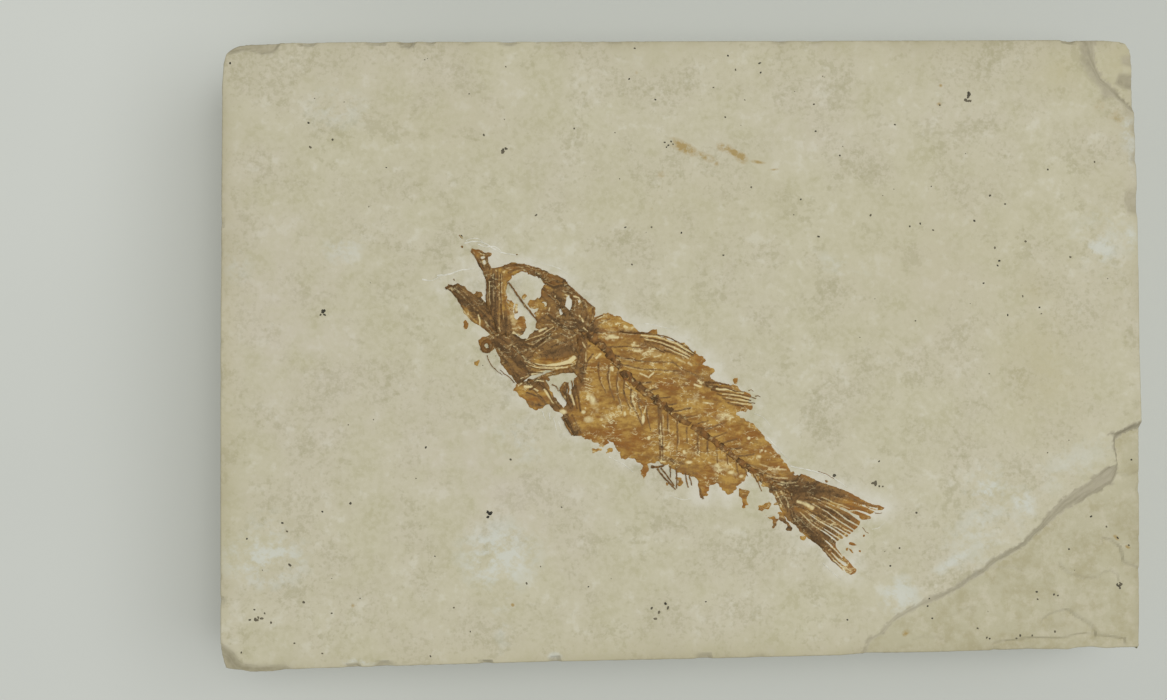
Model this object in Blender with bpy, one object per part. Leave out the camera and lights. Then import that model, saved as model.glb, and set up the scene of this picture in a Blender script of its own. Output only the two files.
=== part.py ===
"""A small fossil fish pressed flat on a sawn slab of fine limestone, lying face up.

The slab is one solid: stone in thin beds, with flakes broken from its corners and a shallow
hollow cleared around the fish. The fish is the second solid. Its bones are fused to its film
of skin and scales, and it lies in the hollow, just clear of the stone.

The drawing is in millimetres. X runs along the slab and Y across it, from its middle, and Z
runs up from the face that it rests on. Outlines run anticlockwise seen from above.
"""

import bmesh
import bpy
from mathutils import Vector

MM = 0.001

# The slab.
SLAB_LENGTH = 49.5
SLAB_WIDTH = 34.0
SLAB_THICK = 8.5
EDGE_WEAR = 0.12  # how far the sawn edges are rubbed down
LOWER_BED = 1.6  # depth of the bed that stands out at one corner
OUTSIDE = 1.5  # how far a cutter reaches past the slab
OVER = 0.6  # how far a cutter reaches above it

# The flake broken from the corner at +X -Y: its depth grows evenly along X.
FLAKE_START_X = 9.7
FLAKE_START_DEPTH = 0.16
FLAKE_END_DEPTH = 0.7
FLAKE_SLOPE = (0.22, -0.26)  # from the top of the step to its foot

# The fish, in depths below and heights above the slab's face.
HOLLOW_DEPTH = 0.22
HOLLOW_SLOPE = 0.2
FISH_CLEARANCE = 0.03  # between the fish and the floor of the hollow
SKIN_TOP = -0.02
BONE_BOTTOM = -0.12
THIN_BONE = 0.1
HEAD_BONE = 0.14
STOUT_BONE = 0.2
BONE_ROUNDING = 0.07
VERTEBRAE = 23
VERTEBRA_WIDTH = 0.46
VERTEBRA_WAIST = 0.3

HALF_LENGTH = SLAB_LENGTH / 2
HALF_WIDTH = SLAB_WIDTH / 2

SLAB_OUTLINE = [
    (-HALF_LENGTH, -15.2), (-24.7, -16.1), (-24.4, -16.7), (-23.5, -16.9), (-23.3, -HALF_WIDTH),
    (-22.7, -HALF_WIDTH), (-21.7, -16.8), (-18.8, -16.6), (-8.1, -16.3), (3.7, -16.0), (9.8, -15.8),
    (14.0, -15.7), (18.7, -15.5), (21.4, -15.4), (24.6, -15.4), (HALF_LENGTH, -13.6), (24.7, -11.4),
    (24.6, -3.4), (24.4, 4.6), (24.2, 12.4), (24.0, 14.5), (24.0, 16.0), (23.8, 16.6), (23.2, 16.9),
    (21.4, HALF_WIDTH), (-8.1, 16.9), (-21.0, 16.8), (-23.3, 16.7), (-24.1, 16.4), (-24.5, 15.8),
    (-24.6, 14.8), (-24.7, 0.0),
]

# The top of the flake's step, from the +X side to the -Y side.
FLAKE_STEP = [
    (24.6, -3.5), (23.6, -4.0), (23.1, -4.2), (23.1, -4.6), (23.3, -5.4), (23.3, -5.8), (22.7, -6.0),
    (21.7, -6.7), (20.4, -7.7), (19.8, -8.3), (19.2, -9.0), (18.3, -9.9), (17.5, -10.4), (16.6, -10.8),
    (16.1, -11.4), (14.8, -12.2), (13.4, -12.8), (12.0, -13.6), (11.4, -13.9), (11.1, -14.3),
    (10.7, -14.8), (9.8, -15.2), (9.6, -15.9),
]

# Thin ledges left on the flake's floor, where the next beds down broke away.
LEDGE_DEPTH = 0.1
LEDGE_BY_SIDE = [(22.7, -9.7), (23.3, -9.9), (23.7, -10.3), (23.9, -11.0), (24.7, -11.4)]
LEDGE_BY_CORNER = [(19.8, -13.8), (20.9, -13.6), (21.4, -13.9), (22.1, -14.4), (22.4, -14.7)]

# The break at the corner at +X +Y: the top of its slope, then the foot, on which a bed shows.
CORNER_BREAK_TOP = [
    (21.3, 16.6), (21.7, 16.0), (21.9, 15.4), (22.1, 14.9), (22.3, 14.6), (22.9, 14.4), (23.5, 13.7),
    (24.1, 13.2),
]
CORNER_BREAK_FOOT = [
    (22.2, 16.6), (22.3, 16.1), (22.5, 15.6), (22.6, 15.1), (22.8, 14.9), (23.1, 14.7), (23.6, 14.1),
    (24.1, 13.6),
]
CORNER_BREAK_DEPTH = 0.45

# The top of the stone over the bed that stands out at the corner at -X -Y.
LOWER_BED_LINE = [
    (-24.7, -15.5), (-24.2, -15.9), (-23.8, -16.4), (-23.5, -16.5), (-22.4, -16.6), (-21.5, -16.4),
    (-21.1, -16.7),
]

# The hollow around the fish, about 0.6 mm clear of it.
HOLLOW = [
    (-13.3, 3.9), (-12.7, 2.6), (-11.4, 1.1), (-11.1, 0.3), (-10.6, -0.6), (-9.6, -1.8), (-8.9, -2.9),
    (-7.4, -3.6), (-6.6, -4.8), (-4.6, -5.5), (-3.4, -6.3), (-2.4, -7.2), (0.2, -7.8), (1.4, -8.1),
    (3.2, -7.9), (4.4, -8.4), (6.4, -10.1), (7.9, -11.6), (9.1, -12.4), (10.0, -11.7), (9.6, -10.6),
    (9.9, -9.7), (11.0, -8.9), (11.7, -8.1), (10.8, -7.3), (7.4, -5.9), (6.0, -5.3), (4.9, -3.8),
    (4.9, -2.2), (3.6, -1.0), (2.0, -0.4), (1.2, 0.9), (-0.8, 1.9), (-2.3, 2.3), (-3.8, 3.0),
    (-5.3, 4.3), (-6.6, 5.1), (-8.2, 5.6), (-9.4, 5.6), (-10.6, 6.4), (-11.9, 6.2), (-11.9, 5.0),
    (-12.8, 4.5),
]

# The film of skin and scales, from the throat along the belly to the tail and back to the nape.
SKIN = [
    (-9.0, -1.6), (-8.2, -2.6), (-7.7, -2.8), (-7.2, -2.6), (-6.7, -3.0), (-6.5, -3.5), (-6.0, -4.2),
    (-5.4, -4.3), (-4.9, -4.7), (-4.4, -4.8), (-3.9, -4.5), (-3.3, -5.0), (-3.2, -5.5), (-2.3, -5.9),
    (-2.0, -6.6), (-1.6, -5.9), (-1.1, -5.6), (-0.5, -6.0), (0.4, -6.4), (0.9, -6.7), (1.0, -7.2),
    (1.4, -7.4), (1.8, -7.0), (2.6, -7.4), (3.2, -6.9), (4.0, -6.5), (4.6, -6.7), (5.0, -7.1),
    (5.2, -7.6), (5.6, -8.6), (6.3, -8.9), (7.0, -8.2), (7.1, -6.9), (6.5, -6.4), (6.2, -6.5),
    (5.7, -6.0), (4.8, -5.0), (4.2, -4.0), (3.3, -3.3), (2.8, -3.1), (3.5, -2.9), (4.0, -2.4),
    (3.1, -1.5), (2.6, -1.4), (1.9, -1.3), (1.3, -0.4), (0.6, 0.3), (-0.3, 0.8), (-1.3, 1.4),
    (-1.6, 1.2), (-2.3, 1.3), (-2.7, 1.7), (-3.3, 2.1), (-4.0, 2.3), (-4.5, 2.2), (-5.1, 2.0),
    (-5.5, 1.0), (-5.6, -0.8), (-7.2, -1.0), (-8.3, -1.3),
]

# The plates of the head.
CHEEK = [
    (-10.0, 1.3), (-9.9, 0.5), (-9.5, -0.7), (-9.0, -1.6), (-8.0, -1.2), (-6.9, -0.9), (-5.4, -0.6),
    (-5.1, 0.6), (-4.6, 1.7), (-4.3, 2.3), (-5.0, 3.0), (-5.8, 3.7), (-6.8, 4.3), (-7.4, 4.0),
    (-7.5, 3.6), (-7.5, 3.0), (-7.8, 2.6), (-7.7, 2.0), (-8.2, 1.6), (-9.0, 1.4),
]
UPPER_JAW = [
    (-10.8, 1.9), (-10.0, 1.2), (-9.1, 1.2), (-9.0, 1.8), (-9.1, 2.9), (-9.3, 3.9), (-9.3, 4.5),
    (-9.9, 4.7), (-10.3, 4.8), (-10.4, 5.2), (-10.2, 5.5), (-10.9, 5.6), (-11.3, 5.7), (-11.2, 5.3),
    (-10.9, 4.9), (-10.5, 4.4), (-10.4, 3.5), (-10.3, 2.6),
]
LOWER_JAW = [
    (-12.7, 3.7), (-12.4, 3.3), (-12.1, 3.0), (-11.8, 2.5), (-11.3, 1.9), (-10.7, 1.5), (-10.3, 1.1),
    (-9.7, 0.9), (-9.8, 1.5), (-10.2, 2.2), (-10.4, 2.7), (-11.0, 3.2), (-11.6, 3.5), (-12.0, 3.8),
    (-12.4, 3.8),
]
JAW_JOINT = [(-10.7, 0.3), (-10.3, 0.1), (-9.8, 0.2), (-9.7, 0.8), (-10.2, 0.9), (-10.6, 0.8)]
GILL_COVER = [
    (-8.2, 0.0), (-7.6, -0.3), (-6.9, -0.4), (-6.2, -0.2), (-5.7, 0.1), (-5.5, 0.8), (-5.7, 1.2),
    (-6.5, 1.2), (-7.5, 0.6),
]
PELVIC_FIN = [(-6.3, -3.1), (-6.0, -3.9), (-5.8, -4.3), (-5.4, -4.3), (-5.6, -3.6), (-5.7, -3.0)]
TAIL_ROOT = [
    (5.1, -7.5), (5.6, -8.7), (6.4, -9.2), (7.0, -8.5), (7.1, -7.2), (6.7, -6.4), (6.2, -6.4),
    (5.6, -6.9),
]

# Rods and arches of bone: a path, and the width at its start and its end.
HEAD_RODS = {
    "skull_roof": ([(-9.5, 4.6), (-8.9, 4.9), (-8.2, 4.9), (-7.5, 4.5), (-6.6, 4.2), (-5.9, 3.7),
                    (-5.1, 3.0), (-4.5, 2.5)], 0.44, 0.36),
    "skull_base": ([(-9.5, 4.3), (-8.7, 3.2), (-7.8, 2.1), (-7.4, 1.6)], 0.14, 0.12),
    "shoulder_arch": ([(-5.4, 1.1), (-5.3, 0.2), (-5.5, -0.4), (-6.2, -0.8), (-7.6, -1.1)], 0.42, 0.2),
    "gill_ray_upper": ([(-8.3, -0.2), (-7.4, -0.6), (-6.2, -0.6), (-5.6, -0.3)], 0.12, 0.1),
    "gill_ray_lower": ([(-8.8, -0.4), (-7.8, -0.9), (-6.6, -0.9)], 0.12, 0.1),
    "fin_rod_front": ([(-8.2, -1.5), (-7.1, -0.9)], 0.14, 0.14),
    "fin_rod_middle": ([(-6.4, -0.7), (-6.1, -1.9), (-5.7, -3.0)], 0.24, 0.16),
    "fin_rod_back": ([(-5.8, -0.7), (-5.6, -1.9), (-5.4, -3.1)], 0.14, 0.12),
}

BACKBONE = [
    (-4.9, 0.5), (-4.2, -0.2), (-2.9, -1.2), (-1.8, -2.0), (-0.9, -2.7), (0.6, -3.8), (2.5, -5.0),
    (4.1, -6.1), (5.4, -7.0), (6.1, -7.5),
]

# Ribs: the place where each leaves the backbone, and its tip.
RIBS = [
    ((-4.5, -0.2), (-4.3, -1.9)), ((-4.0, -0.6), (-3.8, -2.4)), ((-3.5, -0.9), (-3.4, -2.9)),
    ((-2.9, -1.4), (-2.7, -3.2)), ((-2.4, -1.8), (-2.1, -3.6)), ((-2.0, -2.1), (-1.8, -4.0)),
]

# Spines and rays of the fins: the root of each, and its tip.
FRONT_BACK_FIN = [
    ((-3.2, 1.4), (-0.9, 1.1)), ((-0.9, 1.1), (0.6, 0.3)), ((-2.1, 1.0), (0.7, 0.1)),
    ((-2.0, 0.8), (0.5, -0.1)), ((-1.6, 0.5), (0.4, -0.3)),
]
REAR_BACK_FIN = [
    ((1.2, -1.5), (2.6, -1.6)), ((1.6, -1.7), (3.3, -1.9)), ((1.9, -2.0), (3.6, -2.1)),
    ((2.1, -2.2), (4.1, -2.3)), ((2.3, -2.4), (4.0, -2.5)), ((2.5, -2.6), (3.5, -2.8)),
]
BELLY_FIN = [
    ((-1.4, -5.4), (-0.6, -6.9)), ((-0.9, -5.4), (-0.5, -6.8)), ((-0.5, -5.6), (-0.2, -7.1)),
    ((0.1, -6.0), (0.4, -7.0)),
]
TAIL_RAYS = [
    ((6.4, -6.6), (10.9, -8.1)), ((6.5, -6.8), (10.7, -8.3)), ((6.6, -7.0), (10.5, -8.5)),
    ((6.7, -7.2), (10.0, -8.7)), ((6.8, -7.4), (9.8, -8.9)), ((6.8, -7.6), (9.4, -9.1)),
    ((6.8, -7.8), (9.1, -9.4)), ((6.8, -8.0), (8.7, -9.7)), ((6.7, -8.1), (8.3, -9.9)),
    ((6.6, -8.2), (8.4, -10.5)), ((6.5, -8.3), (8.9, -11.1)), ((6.4, -8.4), (9.2, -11.6)),
    ((6.3, -8.5), (8.8, -11.6)), ((6.2, -8.6), (8.2, -11.1)), ((6.0, -8.6), (7.6, -10.4)),
    ((5.8, -8.6), (6.8, -9.7)),
]

HAEMAL_LENGTHS = (2.4, 0.5)  # under the first tail vertebra and the last
NEURAL_LENGTHS = (1.5, 0.7)  # over the first vertebra and the last
FIRST_TAIL_VERTEBRA = 8


def principled(name, colour, roughness):
    material = bpy.data.materials.new(name)
    material.use_nodes = True
    shader = material.node_tree.nodes["Principled BSDF"]
    shader.inputs["Base Color"].default_value = (*colour, 1.0)
    shader.inputs["Roughness"].default_value = roughness
    return material


def on_level(outline, height):
    """The outline's points at one height above the slab's face."""
    return [(x, y, SLAB_THICK + height) for x, y in outline]


def inset(outline, distance):
    """The outline drawn in on all sides by a distance, small beside its own bays."""
    moved = []
    for before, here, after in zip(outline[-1:] + outline[:-1], outline, outline[1:] + outline[:1]):
        first = (Vector(here) - Vector(before)).normalized()
        second = (Vector(after) - Vector(here)).normalized()
        inward = Vector((-first.y - second.y, first.x + second.x)).normalized()
        point = Vector(here) + inward * distance
        moved.append((point.x, point.y))
    return moved


def loft(name, rings, holder):
    """A closed solid through rings of as many points each: the first is a face, extruded to the rest."""
    bm = bmesh.new()
    first = face = bm.faces.new([bm.verts.new(Vector(point) * MM) for point in rings[0]])
    for ring in rings[1:]:
        grown = bmesh.ops.extrude_face_region(bm, geom=[face], use_keep_orig=True)["geom"]
        if face is not first:
            bm.faces.remove(face)
        face = next(part for part in grown if isinstance(part, bmesh.types.BMFace))
        for vert, point in zip(face.verts, ring):
            vert.co = Vector(point) * MM
    bmesh.ops.recalc_face_normals(bm, faces=bm.faces[:])
    bmesh.ops.triangulate(bm, faces=[part for part in bm.faces if len(part.verts) > 4])
    mesh = bpy.data.meshes.new(name)
    bm.to_mesh(mesh)
    bm.free()
    made = bpy.data.objects.new(name, mesh)
    holder.objects.link(made)
    return made


def helper_collection(name):
    """A collection for the shapes that a Boolean joins to a solid or takes from it."""
    holder = bpy.data.collections.new(name)
    bpy.context.scene.collection.children.link(holder)
    return holder


def apply_helpers(solid, holder, operation):
    for helper in holder.objects:
        helper.hide_render = True
        helper.display_type = "WIRE"
    boolean = solid.modifiers.new(holder.name, "BOOLEAN")
    boolean.operation = operation
    boolean.operand_type = "COLLECTION"
    boolean.collection = holder
    boolean.solver = "EXACT"


# ---------------------------------------------------------------- the slab


def flake_depth(x):
    share = (x - FLAKE_START_X) / (HALF_LENGTH - FLAKE_START_X)
    return FLAKE_START_DEPTH + share * (FLAKE_END_DEPTH - FLAKE_START_DEPTH)


def on_flake(outline, deeper=0.0):
    """The outline's points on the sloping floor of the flake, or that much under it."""
    return [(x, y, SLAB_THICK - flake_depth(x) - deeper) for x, y in outline]


def shifted(outline, by):
    return [(x + by[0], y + by[1]) for x, y in outline]


def add_slab():
    bottom = [(x, y, 0.0) for x, y in inset(SLAB_OUTLINE, EDGE_WEAR)]
    lower = [(x, y, EDGE_WEAR) for x, y in SLAB_OUTLINE]
    upper = on_level(SLAB_OUTLINE, -EDGE_WEAR)
    top = on_level(inset(SLAB_OUTLINE, EDGE_WEAR), 0.0)
    slab = loft("limestone_slab", [bottom, lower, upper, top], bpy.context.scene.collection)
    slab.data.materials.append(principled("limestone", (0.5, 0.46, 0.34), 0.85))
    cutters = helper_collection("broken_away")
    cut_corner_flake(cutters)
    cut_corner_break(cutters)
    cut_lower_bed(cutters)
    cut_edge_chips(cutters)
    loft(
        "fish_hollow",
        [on_level(inset(HOLLOW, HOLLOW_SLOPE), -HOLLOW_DEPTH), on_level(HOLLOW, 0.0),
         on_level(HOLLOW, OVER)],
        cutters,
    )
    apply_helpers(slab, cutters, "DIFFERENCE")


def cut_corner_flake(cutters):
    """The big flake at the corner at +X -Y, and the thin ledges that it left."""
    far_x, far_y = HALF_LENGTH + OUTSIDE, -HALF_WIDTH - OUTSIDE
    around = [(FLAKE_STEP[-1][0], far_y), (far_x, far_y), (far_x, FLAKE_STEP[0][1])]
    step = FLAKE_STEP + around
    foot = shifted(FLAKE_STEP, FLAKE_SLOPE) + around
    loft("corner_flake", [on_flake(foot), on_level(step, 0.0), on_level(step, OVER)], cutters)
    side = LEDGE_BY_SIDE + [(far_x, -11.4), (far_x, -9.4), (23.4, -9.2)]
    corner = LEDGE_BY_CORNER + [(22.8, far_y), (19.0, far_y), (19.2, -14.6)]
    for name, ledge in (("side_ledge", side), ("corner_ledge", corner)):
        loft(name, [on_flake(ledge, LEDGE_DEPTH), on_flake(ledge, -OVER)], cutters)


def cut_corner_break(cutters):
    """The break at the corner at +X +Y, with a deeper facet on the slab's side."""
    far_x, far_y = HALF_LENGTH + OUTSIDE, HALF_WIDTH + OUTSIDE
    around = [(far_x, CORNER_BREAK_FOOT[-1][1] - 0.4), (far_x, far_y)]
    top = [(CORNER_BREAK_TOP[0][0], far_y)] + CORNER_BREAK_TOP + around
    foot = [(CORNER_BREAK_FOOT[0][0], far_y)] + CORNER_BREAK_FOOT + around
    loft(
        "corner_break",
        [on_level(foot, -CORNER_BREAK_DEPTH), on_level(top, 0.0), on_level(top, OVER)],
        cutters,
    )
    facet = [(23.3, 14.5), (24.2, 14.2), (24.6, 15.3), (23.5, 15.4)]
    floor = [(x, y, SLAB_THICK - CORNER_BREAK_DEPTH - 0.7 * (x - 23.2)) for x, y in facet]
    loft("corner_facet", [floor, on_level(facet, OVER)], cutters)


def cut_lower_bed(cutters):
    """The stone missing over the bed that stands out at the corner at -X -Y."""
    far_x, far_y = -HALF_LENGTH - OUTSIDE, -HALF_WIDTH - OUTSIDE
    line = [(far_x, LOWER_BED_LINE[0][1])] + LOWER_BED_LINE
    line += [(LOWER_BED_LINE[-1][0], far_y), (far_x, far_y)]
    line.reverse()
    loft("lower_bed", [on_level(line, -LOWER_BED), on_level(line, OVER)], cutters)


def cut_edge_chips(cutters):
    """Small chips along the top edges: each a wedge, as deep as stated where it leaves the slab."""
    far_y = HALF_WIDTH + OUTSIDE
    wedge(cutters, "chip_long", [(-24.3, 16.1), (-21.8, 16.3), (-21.6, far_y), (-24.6, far_y)], 16.2, 0.5)
    for number, (x, width) in enumerate([(-16.8, 0.5), (-14.7, 0.4), (-9.3, 0.4), (20.5, 0.9)]):
        notch = [(x, 16.5), (x + width / 2, far_y), (x - width / 2, far_y)]
        wedge(cutters, "chip_%d" % number, notch, 16.5, 0.7)
    side = [(23.7, 8.2), (24.1, 7.7), (26.0, 7.6), (26.0, 9.2), (24.0, 9.0)]
    loft("chip_side", [on_level(side, -0.3), on_level(side, OVER)], cutters)
    band = [(17.2, -15.5), (17.2, -17.0), (26.0, -17.0), (26.0, -15.2), (23.8, -15.2), (21.9, -14.9),
            (21.4, -15.0), (20.4, -15.2), (18.0, -15.3)]
    floor = [(x, y, SLAB_THICK - flake_depth(x) + 1.1 * (y + 15.0)) for x, y in band]
    loft("chip_band", [floor, on_level(band, OVER)], cutters)


def wedge(cutters, name, outline, start_y, slope):
    """A cutter whose floor falls away evenly from a line along X."""
    floor = [(x, y, SLAB_THICK + 0.02 - slope * (y - start_y)) for x, y in outline]
    loft(name, [floor, on_level(outline, OVER)], cutters)


# ---------------------------------------------------------------- the fish


def plate(bones, name, outline, height, below=0.0):
    """A flat bone with its rim rounded down. Plates that cross start at depths of their own."""
    low = on_level(outline, BONE_BOTTOM - below)
    rim = on_level(outline, height - BONE_ROUNDING)
    crown = on_level(inset(outline, BONE_ROUNDING), height)
    loft(name, [low, rim, crown], bones)


def rod(bones, name, path, start_width, end_width, height):
    """A slender bone: a roof-shaped bar along the path, tapering from one width to the other."""
    rings = []
    for i, here in enumerate(path):
        along = Vector(path[min(i + 1, len(path) - 1)]) - Vector(path[max(i - 1, 0)])
        along.normalize()
        share = i / (len(path) - 1)
        half = (start_width + share * (end_width - start_width)) / 2
        side = Vector((-along.y, along.x)) * half
        foot = [(here[0] + side.x, here[1] + side.y), (here[0] - side.x, here[1] - side.y)]
        rings.append(on_level(foot, BONE_BOTTOM) + on_level([here], height))
    loft(name, rings, bones)


def along_path(path, share):
    """The point at a share of the path's length, and the direction there."""
    corners = [Vector(point) for point in path]
    steps = [(b - a).length for a, b in zip(corners, corners[1:])]
    left = share * sum(steps)
    for start, end, step in zip(corners, corners[1:], steps):
        if left <= step or end is corners[-1]:
            return start.lerp(end, left / step), (end - start).normalized()
        left -= step


def between(limits, share):
    return limits[0] + share * (limits[1] - limits[0])


def add_vertebra(bones, name, middle, along, length, size):
    """A low drum, narrow at its waist, with its axis along the backbone."""
    side = Vector((-along.y, along.x))
    rings = []
    for place, width in ((-0.5, VERTEBRA_WIDTH), (0.0, VERTEBRA_WAIST), (0.5, VERTEBRA_WIDTH)):
        point = middle + along * place * length
        foot = [point + side * width * size / 2, point - side * width * size / 2]
        crown = [point - side * width * size / 4, point + side * width * size / 4]
        rings.append(on_level(foot, BONE_BOTTOM - 0.01) + on_level(crown, STOUT_BONE * width / VERTEBRA_WIDTH))
    loft(name, rings, bones)


def add_backbone(bones):
    pitch = sum((Vector(b) - Vector(a)).length for a, b in zip(BACKBONE, BACKBONE[1:])) / VERTEBRAE
    for number in range(VERTEBRAE):
        share = (number + 0.5) / VERTEBRAE
        middle, along = along_path(BACKBONE, share)
        add_vertebra(bones, "vertebra_%d" % number, middle, along, pitch * 1.04, between((1.0, 0.7), share))
        tip = middle + Vector((1.0, 0.12)) * between(NEURAL_LENGTHS, share)
        rod(bones, "neural_spine_%d" % number, [middle, tip], 0.14, 0.08, THIN_BONE)
        if number >= FIRST_TAIL_VERTEBRA:
            tail_share = (number - FIRST_TAIL_VERTEBRA) / (VERTEBRAE - 1 - FIRST_TAIL_VERTEBRA)
            tip = middle + Vector((0.06, -1.0)) * between(HAEMAL_LENGTHS, tail_share)
            rod(bones, "haemal_spine_%d" % number, [middle, tip], 0.14, 0.08, THIN_BONE)


def add_fin(bones, name, rays, root_width, tip_width):
    for number, ray in enumerate(rays):
        rod(bones, "%s_%d" % (name, number), list(ray), root_width, tip_width, THIN_BONE)


def add_fish():
    floor = SLAB_THICK - HOLLOW_DEPTH + FISH_CLEARANCE
    under = [(x, y, floor) for x, y in SKIN]
    fish = loft("fossil_fish", [under, on_level(SKIN, SKIN_TOP)], bpy.context.scene.collection)
    fish.data.materials.append(principled("fossil_bone", (0.2, 0.11, 0.04), 0.6))
    bones = helper_collection("fish_bones")
    plate(bones, "cheek", CHEEK, 0.05, 0.02)
    plate(bones, "upper_jaw", UPPER_JAW, HEAD_BONE, 0.01)
    plate(bones, "lower_jaw", LOWER_JAW, HEAD_BONE - 0.02, 0.03)
    plate(bones, "jaw_joint", JAW_JOINT, STOUT_BONE, 0.04)
    plate(bones, "gill_cover", GILL_COVER, STOUT_BONE)
    plate(bones, "pelvic_fin", PELVIC_FIN, THIN_BONE)
    plate(bones, "tail_root", TAIL_ROOT, 0.04)
    for name, (path, start_width, end_width) in HEAD_RODS.items():
        rod(bones, name, path, start_width, end_width, STOUT_BONE)
    add_backbone(bones)
    for number, (root, tip) in enumerate(RIBS):
        bend = (root[0] + 0.3 * (tip[0] - root[0]) - 0.1, root[1] + 0.5 * (tip[1] - root[1]))
        rod(bones, "rib_%d" % number, [root, bend, tip], 0.14, 0.08, THIN_BONE)
    add_fin(bones, "front_back_fin", FRONT_BACK_FIN, 0.13, 0.08)
    add_fin(bones, "rear_back_fin", REAR_BACK_FIN, 0.12, 0.08)
    add_fin(bones, "belly_fin", BELLY_FIN, 0.12, 0.08)
    add_fin(bones, "tail_ray", TAIL_RAYS, 0.16, 0.13)
    apply_helpers(fish, bones, "UNION")


def main():
    for obj in list(bpy.data.objects):
        bpy.data.objects.remove(obj, do_unlink=True)
    add_slab()
    add_fish()


main()
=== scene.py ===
import math

import bmesh
import bpy
import numpy as np
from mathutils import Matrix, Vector


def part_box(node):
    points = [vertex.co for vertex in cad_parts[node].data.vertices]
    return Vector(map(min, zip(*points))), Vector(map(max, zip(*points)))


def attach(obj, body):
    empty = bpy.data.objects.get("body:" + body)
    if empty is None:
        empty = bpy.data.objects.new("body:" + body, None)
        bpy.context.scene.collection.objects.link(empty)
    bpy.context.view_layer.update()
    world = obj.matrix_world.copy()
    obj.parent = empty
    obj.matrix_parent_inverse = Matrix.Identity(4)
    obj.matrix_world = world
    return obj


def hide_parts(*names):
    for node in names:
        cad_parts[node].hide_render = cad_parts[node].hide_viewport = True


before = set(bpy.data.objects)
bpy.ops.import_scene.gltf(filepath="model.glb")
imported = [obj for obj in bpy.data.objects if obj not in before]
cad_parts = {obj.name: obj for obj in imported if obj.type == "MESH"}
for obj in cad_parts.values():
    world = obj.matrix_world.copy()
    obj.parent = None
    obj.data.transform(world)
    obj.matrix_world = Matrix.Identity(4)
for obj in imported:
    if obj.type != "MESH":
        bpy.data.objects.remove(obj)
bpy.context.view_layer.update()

MM = 0.001
SLAB_LOW, SLAB_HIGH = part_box("limestone_slab")
FACE = SLAB_HIGH[2] / MM  # height of the face with the fish
UNDERSIDE = SLAB_LOW[2] / MM

# All outlines and paths are in millimetres, X along the slab and Y across it, from its middle.

# ---------------------------------------------------------------- the slab's drawing

LEFT_EDGE = [  # from -Y to +Y
    (-24.5, -16.85), (-24.65, -16.5), (-24.74, -16.1), (-24.75, -15.5), (-24.75, -8.0), (-24.75, 1.0),
    (-24.7, 8.0), (-24.66, 14.6), (-24.58, 15.7), (-24.45, 16.2), (-24.2, 16.48),
]
TOP_EDGE = [  # from -X to +X
    (-24.2, 16.48), (-23.8, 16.66), (-23.3, 16.74), (-21.0, 16.82), (-15.2, 16.88), (-8.1, 16.88),
    (5.0, 16.92), (20.4, 16.97), (20.9, 16.9), (21.3, 16.94), (22.2, 17.0), (23.0, 16.99),
    (23.55, 16.95), (23.95, 16.82),
]
RIGHT_EDGE = [  # from -Y to +Y
    (24.74, -15.72), (24.75, -13.6), (24.75, -9.5), (24.74, -6.0), (24.72, -3.5), (24.6, 0.6),
    (24.55, 4.6), (24.5, 7.6), (24.46, 7.8), (24.46, 8.8), (24.48, 9.0), (24.36, 11.6), (24.35, 12.4),
    (24.3, 13.2), (24.28, 14.1), (24.3, 15.0), (24.24, 16.1), (24.15, 16.5), (23.95, 16.82),
]
BOTTOM_EDGE = [  # from -X to +X
    (-24.5, -16.85), (-24.1, -16.9), (-23.65, -16.9), (-23.45, -16.97), (-23.25, -17.0), (-22.7, -17.0),
    (-22.1, -16.99), (-21.6, -16.92), (-21.2, -16.84), (-18.8, -16.76), (-8.1, -16.45), (3.7, -16.2),
    (8.6, -16.08), (9.9, -15.97), (11.3, -15.98), (14.0, -15.94), (17.0, -15.86), (18.7, -15.8),
    (20.9, -15.84), (21.4, -15.74), (22.2, -15.7), (22.9, -15.78), (24.74, -15.72),
]

# The flake broken from the corner at +X -Y: the top of its step, the foot of it, and its depth.
FLAKE_TOP = [
    (25.5, -3.2), (24.5, -3.55), (24.05, -3.75), (23.6, -4.0), (23.15, -4.15), (22.7, -4.1),
    (23.12, -4.3), (23.15, -4.55), (23.25, -5.3), (23.35, -5.8), (22.75, -6.02), (22.3, -6.3),
    (21.75, -6.75), (21.05, -7.15), (20.4, -7.65), (19.8, -8.25), (19.5, -8.6), (19.2, -9.0),
    (18.75, -9.45), (18.35, -9.95), (17.55, -10.4), (16.65, -10.85), (16.4, -11.1), (16.15, -11.4),
    (15.6, -11.65), (14.8, -12.25), (13.95, -12.7), (13.4, -12.8), (12.75, -13.2), (12.0, -13.6),
    (11.45, -13.9), (11.1, -14.25), (10.7, -14.75), (9.95, -15.2), (9.7, -15.9), (9.6, -17.5),
]
FLAKE_FOOT = [
    (25.5, -3.6), (24.4, -3.95), (23.75, -4.2), (23.42, -4.5), (23.4, -4.85), (23.45, -5.3),
    (23.55, -5.85), (23.5, -6.4), (23.3, -6.9), (22.45, -7.3), (21.5, -7.85), (20.85, -8.2),
    (20.2, -8.65), (19.6, -9.2), (18.95, -9.75), (18.55, -10.15), (17.75, -10.65), (16.85, -11.15),
    (16.3, -11.65), (15.0, -12.5), (14.1, -12.95), (12.9, -13.45), (12.2, -13.8), (11.6, -14.1),
    (11.3, -14.4), (10.9, -14.9), (10.2, -15.3), (9.95, -15.9), (9.85, -17.5),
]
FLAKE_DEPTHS = (9.7, 0.12, 24.75, 0.5)  # x and depth at its start and at its end
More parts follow.
